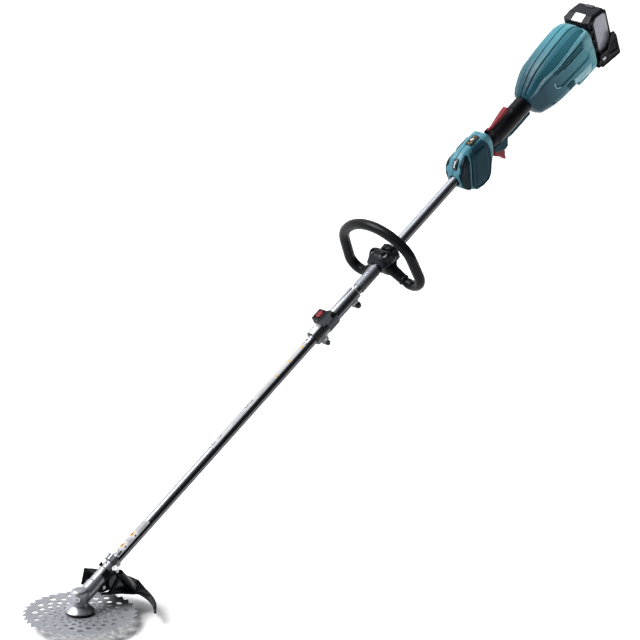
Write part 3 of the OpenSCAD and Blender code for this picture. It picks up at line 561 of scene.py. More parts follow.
# ---- motor housing
HOUSING_SIDE = points("1506.4,18 1508,-4 1511,-20 1515,-33 1524,-42 1547,-47 1566,-49.4 1600,-51 "
    "1632,-53.4 1646,-60 1695.6,-60 1714.6,26 1714,38.6 1709.6,49.4 1702,58.2 1691,64.4 1678,67.4 "
    "1662,67.4 1620,64.4 1585,60 1562,54.6 1544,47.4 1526,37 1510,26")
# along the housing: s, half width, height above and depth below the pipe's centre line
WAIST = np.array(points("1500,19,21,17 1507,21,24,20 1513,26,29,33 1524,31.5,37,42 "
    "1545,37.5,48.4,47 1560,41.6,55,49.5 1578,45.2,59.6,51 1600,46.6,63,52 1632,46.6,66,54 "
    "1662,46.6,67.6,56 1680,46.2,67.4,57 1694,45,64.4,58 1704,43.6,58,58 1714,42.4,49,58 "
    "1740,41,40,58"), np.float32)
SECTION = both(points("20,-54 32,-48.6 42.6,-37 45.8,-27 46,0 45.2,31 41.5,42 30,57.4 17.5,65 "
    "9,67.4"))
REAR = both(points("26,-61 40,-51 45.6,-38 45.2,0 26,20"))
LOW_PANEL = points("1622,-20.5 1684,-25.5 1676,-47 1622,-40.5")
RIDGE_AT = np.array(points("1500,30 1516,38 1545,42.5 1561,43 1596,39.6 1640,40.4 1688,43.6 "
    "1730,50"), np.float32)


def housing_field(g):
    """Distance to the shell, and the cross-section's own coordinates scaled to its widest part."""
    w, up, low = (table_at(g.x, WAIST, k) for k in (1, 2, 3))
    v = g.y * (46 / w)
    z = np.where(g.z > 0, g.z * (67.4 / up), g.z * (54 / low))
    sec = (polygon_distance(v, z, inset(SECTION, 7)) - 7) * np.minimum(1, w / 46)
    sec = np.minimum(sec, np.maximum(soft(g, "yz", REAR, 6), 1634 - g.x))
    side = soft(g, "xz", HOUSING_SIDE, 2)
    return smax(side, sec, 6), v, z


def make_housing():
    g = Grid((1502, -50, -64), (1724, 1.5, 71), 1.0)
    hull, v, z = housing_field(g)
    ridge = table_at(g.x, RIDGE_AT)
    band = smax(v + 17.5, ridge - z, 4, np.maximum(1511 - g.x, g.x - 1712), 6)
    low = g.outline("xz", LOW_PANEL)
    body = cut(hull, smax(band, -(hull + 3.6), 0.5), 1.4)
    # the bead below the dark band, and the long shallow recess under the slots
    bead = abs(z - ridge + 1.6) - 2.4
    body = smin(body, smax(bead, hull - 1.0, 2.2, v + 30, 2), 1.6)
    oval = np.sqrt(line_distance(g.x, g.z, (1581, 5), (1676, 2))) - 12.8
    body = cut(body, smax(oval, -(hull + 2.6), 0.5), 1.5, smax(low, -(hull + 1.6), 0.5), 0.8)
    slots = ((1578, 1684, 31.6), (1584, 1682, 25.6), (1606, 1678, 19.6))
    vents = [g.box((s0, -60, h0), (s1, -28, h0 + 2.5), 0.9) for s0, s1, h0 in slots]
    for i in range(5):
        s0, h0 = i * 1.4, i * 4.4
        vents.append(g.box((1596 + s0, -60, -19.4 - h0), (1618 + s0, -26, -17.2 - h0), 0.7))
    for vent in vents:
        body = cut(body, vent, 0.5)
    for s, h in ((1553, -31), (1672, -52)):
        body = cut(body, g.tube(1, s, h, 3.6, -60, -26), 0.8)
    body = cut(body, g.tube(0, 0, 0, 12.6, 1400, 1540), 0.6)
    body = smax(body, g.y + 0.4, 1.8)
    # painted shade: a darker skin laid in the band's groove, which is the same teal in shade
    band_shade_skin = smax(band + 0.5, hull + 2.0, 2.0, -(hull + 6), 0.5, g.y + 6, 1)
    panel = smax(low + 0.5, hull + 0.5, 1.4, -(hull + 4), 0.5)
    # painted shade: a black skin at the floor of each vent stands for the dark behind it
    vent_shade_skin = smax(functools.reduce(np.minimum, vents) - 0.5, hull + 1.4, 0.3, -(hull + 5), 0.3)
    # painted highlight: a thin paler skin along the crest of the bead and on the raised lip round
    # the front of the recess
    crest_highlight = smax(abs(z - ridge + 1.6) - 1.3, abs(hull + 0.2) - 1.6, 0.8, v + 30, 1,
        np.maximum(1516 - g.x, g.x - 1704), 2)
    lip = smax(abs(oval + 1.2) - 1.5, g.x - 1583, 1.5, abs(hull + 0.2) - 0.9, 0.6)
    crest_highlight = np.minimum(crest_highlight, smax(lip, g.z - 13, 1.5))
    # the crest's paler skin is painted highlight; the band's and the vents' dark skins are painted
    # shade
    looks = (("crest_highlight", crest_highlight, "bead_teal", "teal_plastic", 0.6),
        ("shell", body, "teal_shell", "teal_plastic", 0.4), ("band", band_shade_skin, "teal_band",
        "dark_teal_plastic", 0.5), ("panel", panel, "pale_teal", "teal_plastic", 0.5),
        ("vents", vent_shade_skin, "vent_black", "black_plastic", 0.6),)
    for side, y in SIDES:
        place = PIPE @ Matrix.Diagonal((1, y, 1, 1))
        for name, dist, mat, slot, ratio in looks:
            stands_for = "housing_" + side if name == "shell" else ""
            piece("housing_%s_%s" % (name, side), g, dist, place, mat, UNIT, stands_for,
                ratio=ratio)


# ---- control box
BOX_SIDE = points("1256,-14 1261,-23 1284,-43 1304,-49.5 1325,-49.5 1343,-36 1364,-13 1378,10 "
    "1379.4,24 1373,38 1352,44.8 1312,46.8 1300,45.2 1284,39.8 1264,22.4 1257,6")
BOX_PLAN = points("1255,-12 1262,-21 1272,-24.4 1364,-24.4 1375,-21 1380,-12 1380,12 1375,21 "
    "1364,24.4 1272,24.4 1262,21 1255,12")
BOX_SECTION = both(points("24.4,-56 24.4,24 19.4,37 11,46 0.01,47.4"))
FRONT_PANEL = points("1258,-16 1262,-25 1269.5,-33 1275,-25 1289.5,8 1303.6,40 1294,41 1276,33 "
    "1262,15")
REAR_PANEL = points("1283,-43 1304,-49.5 1324,-49.5 1336,-42 1352,-17 1360,8 1360,22 1353,38 "
    "1318,41.4 1308.6,37 1295,5 1279.6,-28")
DISPLAY = PIPE @ tilt(1341, -4.5, 44.2, "Y", 6)
KEY_TILT = 41
FRONT_KEY = PIPE @ tilt(1275, -4, 33, "Y", -KEY_TILT)


def make_box():
    g = Grid((1250, -30, -56), (1384, 1.5, 54), 0.85)
    hull = smax(soft(g, "xz", BOX_SIDE, 5), soft(g, "yz", BOX_SECTION, 3), 6,
        soft(g, "xy", BOX_PLAN, 5), 5)
    front = soft(g, "xz", FRONT_PANEL, 3)
    rear = soft(g, "xz", REAR_PANEL, 4)
    near = g.y + 15.5
    body = cut(hull, smax(np.minimum(front, rear) - 0.7, -(hull + 1.2), 0.4, near, 0.5), 0.7,
        g.tube(0, 0, 0, 12.6), 0.5)
    body = smax(body, g.y + 0.25, 1.0)

    def raised_skin(edge, high, ease, hollow, floor, depth):
        """Panel that stands proud of the box, with a hollow inside its rim."""
        proud = smax(edge, hull - high, ease, near, 0.6, -(hull + 4), 0.4)
        return cut(proud, smax(soft(g, "xz", hollow, 3), -(hull - floor), 0.3), depth)

    front_skin = raised_skin(front, 2.6, 3.0, inset(FRONT_PANEL, 6), 1.4, 2.4)
    rear_skin = raised_skin(rear, 3.2, 3.4, inset(REAR_PANEL, 5), 1.8, 2.2)
    raised = smax(soft(g, "xz", inset(REAR_PANEL, 11), 4), hull - 3.0, 2.2)
    rear_skin = smin(rear_skin, smax(raised, -(hull + 2), 0.4), 1.6)
    c, s = math.cos(math.radians(KEY_TILT)), math.sin(math.radians(KEY_TILT))
    along, out = (g.x - 1275) * c + (g.z - 33) * s, (g.z - 33) * c - (g.x - 1275) * s
    for side, y in SIDES:
        place = PIPE @ Matrix.Diagonal((1, y, 1, 1))
        # wells for the two keys
        well = smax(abs(along) - 12.4, abs(g.y + 4 * y) - 6.4, 2, -8 - out, 0.5)
        wells = np.minimum(well, g.tube(2, 1341, -4.5 * y, 5.7, 30, 60))
        seat = g.box((1325, -13.6 if y == 1 else -4.6, 40), (1357, 4.6 if y == 1 else 13.6, 60),
            1.5)
        shell = cut(body, seat, 0.6, wells, 0.4)
        piece("control_shell_" + side, g, shell, place, "teal_box", UNIT,
                    "control_box_" + side)
        piece("front_panel_" + side, g, front_skin, place, "near_black_teal", UNIT,
                    "side_panels" if y == 1 else "")
        piece("rear_panel_" + side, g, rear_skin, place, "dark_teal_plastic", UNIT)
    # black glassy display with a pale ring round its button and two small lamps
    g = Grid((-18, -10, -5), (18, 10, 4), 0.45)
    lozenge = points("-16,-5.5 -12.5,-8.6 12.5,-8.6 16,-5.5 16,5.5 12.5,8.6 -12.5,8.6 -16,5.5")
    glass = smax(soft(g, "xy", lozenge, 1.5), abs(g.z + 1.2) - 2.6, 1.2)
    glass = cut(glass, g.tube(2, 0, 0, 5.3), 0.3)
    piece("display_glass", g, glass, DISPLAY, "gloss_black", UNIT, "display_panel")
    lathe("power_key", DISPLAY, eased(points("0.3,-3.5 5.0,-3.5 5.0,1.9 3.9,2.3 0.3,2.0"), 0.3),
          "gloss_black", "power_button_body", "power_button", turns=56)
    for name, r0, r1, low, top, turns in (("ring", 2.3, 3.7, 1.9, 2.42, 48),
            ("dot", 0.2, 0.9, 1.8, 2.3, 24)):
        lathe("power_" + name, DISPLAY, [(r0, low), (r1, low), (r1, top), (r0, 2.3)], "cream",
            "power_button_body", "", turns=turns)
    for i, (x, y) in enumerate(((-9, -4.6), (-11.4, 0.5), (9.5, 4))):
        lathe("display_lamp_%d" % i, DISPLAY @ tilt(x, y, 0),
              points("0.2,1.1 1.5,1.1 1.4,1.62 0.2,1.7"), "amber", UNIT, "", turns=28)
    g = Grid((-14, -8, -4), (14, 8, 5), 0.45)
    key = smax(g.box((-12, -6, -4), (12, 6, 9), 4), g.ball((0, 0, -33), 36.0), 1.0)
    piece("reverse_key", g, smax(key, -g.z - 3.5, 0.4), FRONT_KEY, "gloss_black",
        "reverse_button_body", "reverse_button")
    bar = smax(g.box((-7.5, -1.5, 0), (7.5, 1.5, 9), 1.4), g.ball((0, 0, -33), 36.35), 0.3)
    piece("reverse_bar", g, bar, FRONT_KEY, "pale_grey", "reverse_button_body", "",
        ratio=1)


# ---- loop handle
HANDLE_S = 1005.0
LOOP_TILT = 6
LOOP = PIPE @ tilt(HANDLE_S - 0.4, 0, 0, "Y", LOOP_TILT)


def loop_line():
    """Centre line of the loop from the right arm over the top to the left one, in (0, y, z)."""
    a1, a2, a3 = (math.radians(v) for v in (45, 84, 220))
    r1, r2, r3, top, run = 115, 52, 31, 97, 42

    def arc(c, r, f, t, n):
        return [(c[0] + r * math.sin(f + (t - f) * k / n), c[1] + r * math.cos(f + (t - f) * k / n))
                for k in range(n + 1)]

    def step(p, r, a, sign=1):
        return (p[0] + sign * r * math.sin(a), p[1] + sign * r * math.cos(a))
    c1 = (0, top - r1)
    cu = step(step(c1, r1, a1), r2, a1, -1)
    b2 = step(cu, r2, a2)
    b3 = (b2[0] + run * math.cos(a2), b2[1] - run * math.sin(a2))
    cl = step(b3, r3, a2, -1)
    half = arc(c1, r1, 0, a1, 16) + arc(cu, r2, a1, a2, 8)[1:] + arc(cl, r3, a2, a3, 18)
    full = [(-y, z) for y, z in half[:0:-1]] + half
    return [(0, y, z) for y, z in full], (cl, r3, a3)


def make_handle():
    line, (cl, r3, a3) = loop_line()
    end = (cl[0] + r3 * math.sin(a3), cl[1] + r3 * math.cos(a3))
    run = (math.cos(a3), -math.sin(a3))
    n = len(line)

    def thick(t):
        # soft grip: a little fuller along the top, with a rounded lip at each end
        near = min(t, 1 - t) * n
        return 10.5 + 0.75 * min(1, near / 3) - (0.5 if near < 1.2 else 0)
    sweep("loop_grip", LOOP, line, thick, "rubber", "handle", "handle_loop", sides=36)
    for sgn, name in ((-1, "left"), (1, "right")):
        ring = LOOP @ tilt(0, sgn * end[0], end[1], "X", -math.degrees(math.atan2(sgn * run[0],
            run[1])))
        lathe("loop_collar_" + name, ring, eased(points("9,-1 12.4,-1 12.7,3.2 11.2,6.4 9,6.4"),
            0.9), "black_plastic", "handle", turns=56)
    # lower clamp with the two arms
    g = Grid((980, -62, -46), (1032, 62, 2), 1.0)
    yy, zz = end

    def at(y, z):
        # a point of the loop's plane in the pipe frame
        a = math.radians(LOOP_TILT)
        return (HANDLE_S - 0.4 + z * math.sin(a), y, z * math.cos(a))
    base = smax(soft(g, "yz", points("-26,8 -26,-8 -14,-25 14,-25 26,-8 26,8"), 5),
                soft(g, "xz", points("986,8 987,-14 993,-25 1017,-25 1023,-14 1024,8"), 4), 5)
    for sgn in (-1, 1):
        far = at(sgn * (yy + 0.5 * run[0]), zz + 0.5 * run[1])
        near = at(sgn * (yy + 44 * run[0]), zz + 44 * run[1])
        arm = g.capsule(far, near, 11.2, 13)
        stop = (g.y * sgn - yy) * run[0] + (g.z / math.cos(math.radians(LOOP_TILT)) - zz) * run[1]
        base = smin(base, smax(arm, -stop, 1.5), 9)
    base = cut(base, g.tube(0, 0, 0, 12.9), 0.6)
    base = smax(base, g.z + 0.3, 1.2)
    for y in (-17.5, 17.5):
        base = cut(base, g.tube(2, HANDLE_S, y, 4.6, -60, -20), 0.8)
    piece("clamp_saddle_low", g, base, PIPE, "black_plastic", "handle", "handle_clamp_base")
    g = Grid((976, -33, -1), (1030, 33, 34), 0.9)
    dome = smax(soft(g, "yz", points("-27,-6 -28,8 -21,21 -9,28.6 9,28.6 21,21 28,8 27,-6"), 6),
        soft(g, "xz", points("984.6,-6 984,8 991,22 1000,29 1011,29 1021,20 1025,8 1025,-6"), 6), 8)
    for y in (19, -19):
        dome = smin(dome, g.capsule((HANDLE_S + 4, y, 8), (HANDLE_S + 4, y, 17), 10), 8)
    dome = cut(dome, g.tube(0, 0, 0, 12.9), 0.6)
    for y in (-17.5, 17.5):
        dome = cut(dome, g.tube(2, HANDLE_S, y, 5.6, 18, 60), 1.2)
    dome = smax(dome, -g.z + 0.3, 1.2)
    piece("clamp_saddle_top", g, dome, PIPE, "saddle_black", "handle", "handle_clamp_top")


# ---- rear grip, lever and trigger
def make_grip():
    g = Grid((1376, -24, -30), (1510, 24, 34), 1.0)
    tube = smin(g.tube(0, 0, 0, 17, 1380.4, 1400, 1.5), g.tube(0, 0, 0, 20.3, 1396, 1505.6, 3), 3)
    ears = smin(g.box((1387, -10.6, 6), (1401, -7.4, 23), 1.2),
        g.box((1387, 7.4, 6), (1401, 10.6, 23), 1.2), 0.5)
    body = smin(tube, ears, 2)
    seat = g.box((1402, -8, 17.8), (1464, 8, 40), 1.5)
    body = cut(body, seat, 1.5, g.tube(0, 0, 0, 12.4), 0.4, g.box((1378, -7.6, 14), (1404, 7.6, 40),
        1), 0.5, g.box((1370, -14.2, -60), (1432.5, 14.2, -11.5), 1), 0.5,
        g.box((1420, -9.6, -40), (1512, 9.6, -16.6), 1), 0.8)
    for i in range(9):
        body = cut(body, np.maximum(abs(g.x - (1474 + i * 3.4)) - 0.7,
            -(np.sqrt(g.y ** 2 + g.z ** 2) - 19.7)), 0.5)
    piece("grip_rubber", g, body, PIPE, "rubber", UNIT, "grip_sleeve")
    spine = smax(g.box((1419, -9.2, -29.5), (1507, 9.2, -14), 3.5),
        g.outline("xz", points("1418,-18 1424,-25 1440,-29 1507,-28 1507,-12 1418,-12")), 2)
    piece("grip_spine", g, spine, PIPE, "dark_teal_plastic", UNIT, ratio=0.6)

    g = Grid((1368, -16, -46), (1436, 16, -8), 0.9)
    shape = soft(g, "xz", points("1379,-11.6 1377,-22 1384,-29 1404,-39 1415,-38 1421,-25 1431,-17 "
        "1433,-11.6"), 1.2)
    body = smax(shape, abs(g.y) - 13.2, 4)
    room = smax(g.outline("xz", points("1370,-30 1380,-15 1413,-15 1418,-22 1412,-43 1388,-52")),
                abs(g.y) - 10.6, 0.4)
    body = cut(body, room, 0.6, g.tube(0, 0, 0, 12.5), 0.4)
    piece("trigger_guard", g, body, PIPE, "dark_teal_plastic", UNIT, "trigger_housing")

    g = Grid((1368, -12, -64), (1414, 12, -12), 0.7)
    curve = soft(g, "xz", points("1381,-18 1386.5,-16.5 1400,-26 1408,-36 1405,-44 1401,-52 "
        "1400,-60 1395.5,-61 1391,-52 1385,-43 1377,-37 1373.4,-31"), 1.0)
    body = smax(curve, abs(g.y) - 9.6, 4.5)
    body = cut(body, g.capsule((1397, 0, -21), (1402.5, 0, -29.5), 4.3), 0.4)
    piece("trigger_blade", g, body, PIPE, "red_plastic", "trigger_body", "trigger", ratio=0.6)

    g = Grid((1386, -9, 17), (1466, 9, 38), 0.7)
    curve = soft(g, "xz", points("1390.6,21.0 1401,21.4 1430,22.6 1457,25.6 1462,28 1458,33.4 "
        "1430,30.4 1402,26.6 1390.6,27.4"), 0.9)
    body = smax(curve, abs(g.y) - 3.2 - np.clip(g.x - 1391, 0, 56) * 0.07, 3.0)
    piece("lock_off_lever", g, body, PIPE, "red_plastic", "lock_lever_body", "lock_lever",
                ratio=0.6)


# ---- coupling
def make_coupling():
    g = Grid((790, -21, -21), (842, 21, 40), 0.8)
    barrel = g.tube(0, 0, 0, 17.6, 805.1, 837, 2)
    ribs = np.maximum(abs((g.x - 823) % 3.4 - 1.7) - 0.7, 823 - g.x)
    cup = smax(soft(g, "yz", points("-13.5,3 13.5,3 14,27 12,33.8 -12,33.8 -14,27"), 2.5),
               abs(g.x - 808.4) - 14.4, 3)
    body = smin(barrel, cup, 3)
    body = cut(body, np.maximum(ribs, -(np.sqrt(g.y ** 2 + g.z ** 2) - 16.9)), 0.5,
        g.tube(0, 0, 0, 14.3), 0.5, g.tube(0, 0, 0, 17.9, 700, 805.02), 0.4,
        g.box((798, -8, 20), (819, 8, 60), 2), 1.2)
    piece("coupling_cup", g, body, PIPE, "coupling_black", UNIT, "coupling_body", ratio=0.6)
    g = Grid((795, -10, 22), (822, 10, 40), 0.6)
    key = smax(soft(g, "xy", points("799.4,-3 803.4,-6.9 813.6,-6.9 817.6,-3 817.6,3 813.6,6.9 "
        "803.4,6.9 799.4,3"), 1.5), abs(g.z - 30.6) - 5.2, 1.6, g.ball((808.5, 0, -24), 60.0), 1.4)
    key = cut(key, g.box((807.9, -5, 34.8), (809.1, 5, 60), 0.4), 0.4)
    piece("release_key", g, key, PIPE, "red_plastic", "release_button_body", "release_button",
                ratio=0.6)
    g = Grid((890, -16, -36), (908, 16, -8), 0.7)
    wing = smin(g.capsule((899, -5.5, -26.5), (899, -5.5, -24), 6.9),
        g.capsule((899, 5.5, -26.5), (899, 5.5, -24), 6.9), 5)
    wing = smin(smax(wing, -g.z - 32.4, 1.5), g.tube(2, 899, 0, 5.2, -30, -22.5, 1), 2,
        g.tube(2, 899, 0, 2.9, -26, -11.5), 0.6)
    piece("knob_wings", g, wing, PIPE, "saddle_black", "thumb_knob_body", "thumb_knob", ratio=0.6)
    # boss the knob screws into, and the bright step ring at the end of the outer tube
    lathe("knob_boss", PIPE @ tilt(899, 0, -21.4),
          eased(points("3.1,1 7.2,1 8.4,3.2 8.4,9 3.1,9"), 0.6), "cast_alloy", UNIT, "",
          turns=56)
    lathe("tube_lip", PIPE @ tilt(909.6, 0, 0, "Y", 90), eased(points("12.1,-2 14.3,-2 14.5,1.2 "
        "12.1,1.2"), 0.4), "cast_alloy", UNIT, "", turns=72)


# ---- gear head and guard
def make_head():
    g = Grid((-24, -24, 48), (118, 24, 132), 0.9)
    r = np.sqrt(g.x ** 2 + g.y ** 2)
    head = polygon_distance(r, g.z, points("-9,50 17.8,50 17.9,68 17.2,72.4 14.6,75.6 9,77.4 "
        "-9,78"))
    s, h, rad = g.along_pipe()
    neck = smax(rad - 14.1, np.maximum(6 - s, s - 114.8), 1)
    swell = smax(rad - 15.4, np.maximum(10 - s, s - 46), 2)
    rings = smax(rad - 15.6, abs(s - 78.5) - 2.6, 1)
    ear = smax(abs(g.y) - 7.8, abs(s - 106.5) - 7.6, 1.5, smax(h - 22.6, 6 - h, 2), 2)
    body = smin(head - 0.2, swell, 2.6, neck, 1.6, rings, 1.5, ear, 2.5)
    pc, ps = math.cos(math.radians(215)), math.sin(math.radians(215))
    boss = smax(np.sqrt((g.y * pc - g.x * ps) ** 2 + (g.z - 62) ** 2) - 6.6,
                abs(g.x * pc + g.y * ps - 12) - 5.6, 1.5)
    body = smin(body, boss, 2.5)
    body = cut(body, smax(abs(g.y) - 0.9, np.maximum(8 - h, 98 - s), 0.2), 0.4,
        rad - 12.05 + np.maximum(90 - s, 0), 0.4)
    piece("gear_case_cast", g, body, ROW, "cast_alloy", "attachment", "gear_case", ratio=0.6)
    cone = points("11.5,50.1 17.6,50.1 17.4,47.6 18.6,44.4 21.2,41 24.6,37.6 28,34.4 29.9,32.4 "
        "30.2,31 27,31 22,36 15,43.5 11.5,46")
    lathe("skirt_flare", ROW, eased(cone, 1.0), "cast_alloy", "attachment", "skirt_cone",
          turns=128)
    lathe("skirt_seal", ROW, eased(points("25.4,28 29.6,27.8 30.3,31 26,31"), 0.6), "black_plastic",
          "attachment", "seal_ring", turns=128)


ROOF = np.array(points("-130,38 -96,41.5 -50,45 -34,47.6 -20,53 -10,58 14,59 120,62"), np.float32)
GUARD_PLAN = points("44,15 72,24 108,56 112,116 175,60 175,-116 106,-118 118,-86 133,-62 131,-44 "
    "90,-25 52,-15 44,-13")


def make_guard():
    g = Grid((40, -118, 20), (158, 118, 112), 1.25)
    r = np.sqrt(g.x ** 2 + g.y ** 2)
    turn = np.degrees(np.arctan2(g.y, g.x))
    roof = table_at(g.y, ROOF) + 3.1 - g.x * 0.0524
    ends = np.maximum(-46.5 - turn, turn - 47 + np.clip(g.z - 26, 0, 40) * 0.08) * 2.6
    plan = g.outline("xy", GUARD_PLAN)
    top = smax(g.z - roof, roof - 3.2 - g.z, 0.6, r - 151.6, 1.5, plan, 1.5)
    wall = smax(abs(r - 150.6) - 1.7, 24 - g.z, 1.2, g.z - roof, 1.2, ends, 2.5)
    lip = smax(abs(r - 149.6) - 3.2, abs(g.z - roof + 1.6) - 2.6, 1.2, ends, 2.5)
    foot = smax(abs(r - 150) - 2.8, abs(g.z - 25.6) - 1.6, 1, ends, 2)
    edge = smax(abs(plan + 1.8) - 1.8, abs(g.z - roof + 1) - 2.6, 1, r - 150, 1)
    body = smin(top, wall, 2.5, lip, 1.5, foot, 1, edge, 1)
    # round strut up to the strap on the neck, with two ribs beside it
    foot_at, head_at = (129, -15, 45), (87, -24.5, 92)
    strut = smin(g.capsule(foot_at, head_at, 10.6, 8.2), g.capsule((124, -28, 44), head_at, 4.4, 5),
        4, g.capsule((70, -16, 54), (88, -24, 88), 4.6, 5), 4)
    strut = smax(strut, roof - 2 - g.z, 1.5)
    body = smin(body, strut, 3.5)
    body = cut(body, g.along_pipe()[2] - 17.6, 1, g.box((38, -12, 20), (76, 12, 60), 1), 0.8)
    piece("guard_roof", g, body, ROW, "black_plastic", "attachment", "guard_shell")
    # strap under the neck with its lug, and the bracket below it
    g = Grid((36, -34, 40), (100, 20, 112), 1.0)
    s, h, rad = g.along_pipe()
    strap = smax(rad - 17.4, 14.15 - rad, 0.4, abs(s - 73) - 9, 1.2, 0.73 * h + 0.684 * g.y - 3, 1)
    lug = smax(abs(g.y + 20.5) - 6.5, abs(h - 0.5) - 4.5, 2, abs(s - 90) - 5.2, 2)
    link = g.capsule((62, -15.6, 88), (76, -19.4, 95), 4.4)
    bracket = smax(g.box((47, -11, 56), (72, 11, 92), 2), smax(14.3 - rad, h - 2, 0.3), 0.5)
    body = smin(strap, bracket, 2.5, smin(lug, link, 3), 3)
    body = cut(body, rad - 14.15, 0.3)
    piece("guard_strap", g, body, ROW, "black_plastic", "attachment", "guard_clamp")
    # bolts: through the lug, at the bracket's foot, and the dark ones in the neck; the small black
    # discs on the neck's ears are painted shade for holes
    bolt = eased(points("0.2,-6 3.2,-6 3.2,-0.6 4.6,-0.6 4.6,3.4 2.4,3.4 2.2,1.6 0.2,1.6"), 0.3)
    spots = [("lug", PIPE @ tilt(91.5, -25, 7), "steel", 1.35),
        ("foot_a", ROW @ tilt(54, -11.6, 68, "X", 90), "steel", 0.8),
        ("foot_b", ROW @ tilt(66, -11.6, 63, "X", 90), "black_plastic", 0.9),
        ("neck", PIPE @ tilt(0, 0, 0, "X", -43) @ tilt(87, 0, 16), "black_plastic", 1.0)]
    # painted shade: black discs where the ears' holes are dark
    for k, s_at in enumerate((94, 101, 108.5)):
        spots.append(("hole_shade_%d" % k, PIPE @ tilt(0, 0, 0, "X", 4 - 16 * (k % 2))
            @ tilt(s_at, 0, 13.2), "black_plastic", 0.5))
    for name, place, mat, size in spots:
        lathe("guard_bolt_" + name, place, [(x * size, z * size) for x, z in bolt], mat,
            "attachment", "head_bolts" if name == "lug" else "", turns=40)


# ---- battery
def make_battery():
    g = Grid((0, -41, -112), (68, 41, 4), 1.0)
    core = smax(soft(g, "xy", points("2,-37.5 64,-37.5 64,37.5 2,37.5"), 6), abs(g.z + 57) - 51, 3)
    cap = smax(soft(g, "xy", points("2.4,-34 58,-34 58,34 2.4,34"), 5), abs(g.z + 8) - 7.9, 2.5)
    body = smin(core, cap, 3)
    face = math.radians(24)
    body = smax(body, (g.z + 9) * math.cos(face) - (g.x - 1) * math.sin(face), 1.2)
    window = soft(g, "xz", points("16,-97 56,-97 58.5,-14 50,-7 26,-7 16,-18"), 4)
    body = cut(body, smax(window, 35.9 - abs(g.y), 0.3), 1.0)
    for y in (-1, 1):
        for i in range(4):
            body = cut(body, g.box((4, min(y * 33, y * 50), -94 + i * 22),
                (11, max(y * 33, y * 50), -80 + i * 22), 1), 0.5)
    body = cut(body, g.box((-5, -22, -120), (12, 22, -11), 0.5), 0.4,
        g.box((5, -27, -120), (9, 27, -11), 0.3), 0.3, g.box((47.8, -12.4, -12), (57.2, 12.4, 8),
        1), 0.6, smax(g.box((58, -24, -76), (70, 24, -26), 3), -(g.x - 62.6), 0.2), 0.8)
    piece("battery_shell", g, body, RAIL, "saddle_black", "battery", "battery_case")
    pane = smax(window + 0.6, abs(abs(g.y) - 35.4) - 1.3, 1.0, g.z + 6.5, 1)
    ribs = np.maximum(abs(g.x - 37) - 12, abs((g.z + 100) % 5.2 - 2.6) - 1.1)
    pane = cut(pane, np.maximum(np.maximum(ribs, g.z + 70), 36.1 - abs(g.y)), 0.5)
    piece("battery_panes", g, pane, RAIL, "smoke_grey", "battery", "", ratio=0.6)
    g = Grid((-15, -18, -2), (12, 18, 3), 0.7)
    label = smax(g.box((-11.6, -14.6, -2), (9.8, 14.6, 4), 1.4), g.z - 0.9, 0.3)
    piece("battery_label", g, smax(label, -g.z - 1.2, 0.2), RAIL @ tilt(11.6, -2, -4.3, "Y", -24),
        "paper", "battery", "", ratio=0.6)
    g = Grid((60, -26, -78), (66, 26, -24), 0.8)
    plate = g.box((61, -23.4, -75.4), (63.3, 23.4, -26.6), 1.1)
    piece("battery_plate", g, plate, RAIL, "paper", "battery", "")


def make_battery_guard():
    # cheek plates with a window and a lobe that carries the hinge, and the floor between them
    z0 = -112
    cheek = points("62.5,54 67.6,42 68,-3 7.6,-6.4 -3,7.3 8.4,24.5 31,26 46,44 52,55")
    cheek = [(x, z0 + z) for x, z in cheek]
    window = [(35, z0 + 12), (62, z0 + 10.6), (61.6, z0 + 31), (45, z0 + 25)]
    g = Grid((-10, -49, -122), (72, 49, -52), 1.0)
    outline = soft(g, "xz", cheek, 3)
    edge = abs(abs(g.y) - 45)
    hole = soft(g, "xz", window, 2)
    plate = smax(outline, edge - 1.5, 0.8)
    rim = smax(outline, -(outline + 3.2), 0.4, edge - 2.6, 0.9)
    frame_rim = smax(soft(g, "xz", inset(window, -3), 2), -hole, 0.4, edge - 2.5, 0.9)
    body = smin(plate, rim, 1, frame_rim, 1)
    body = cut(body, smax(hole, 44.7 - abs(g.y), 0.3), 0.5)
    floor = soft(g, "xz", [(-2, z0 - 0.2), (66, z0 - 0.2), (66, z0 - 3.8), (-2, z0 - 3.8)], 0.8)
    body = smin(body, smax(floor, abs(g.y) - 45, 0.6), 1.5, g.box((64.2, -45, z0 - 3),
        (67.6, 45, z0 + 11), 1), 1.5)
    for x, z in ((3.6, z0 + 15.5), (4.6, z0 + 3)):
        for y in (-60, 40):
            body = cut(body, g.tube(1, x, z, 2.2, y, y + 20), 0.5)
    piece("battery_cage", g, body, RAIL, "black_plastic", UNIT, "battery_guard")
    g = Grid((8, -50, -108), (26, 50, -90), 0.7)
    clip = smax(g.box((12, -60, z0 + 8), (22, 60, z0 + 14.5), 1.2), abs(abs(g.y) - 46.4) - 1.4, 0.5)
    piece("battery_clip", g, clip, RAIL, "pale_grey", UNIT, "", ratio=0.6)


def make_bolts():
    # socket-headed bolts that draw the housing's halves together
    for i, (s, h) in enumerate(((1553, -31), (1672, 47), (1672, -47), (1553, 35))):
        deep = -24 if h > 0 else -31
        lathe("shell_bolt_%d" % i, PIPE @ tilt(s, deep, h, "X", 90),
            eased(points("0.2,-30 1.5,-30 1.5,-2.4 3.0,-2.4 3.0,0 1.5,0 1.3,-1.4 0.2,-1.4"), 0.12),
            "steel", UNIT, "housing_screws" if i == 0 else "", turns=40)


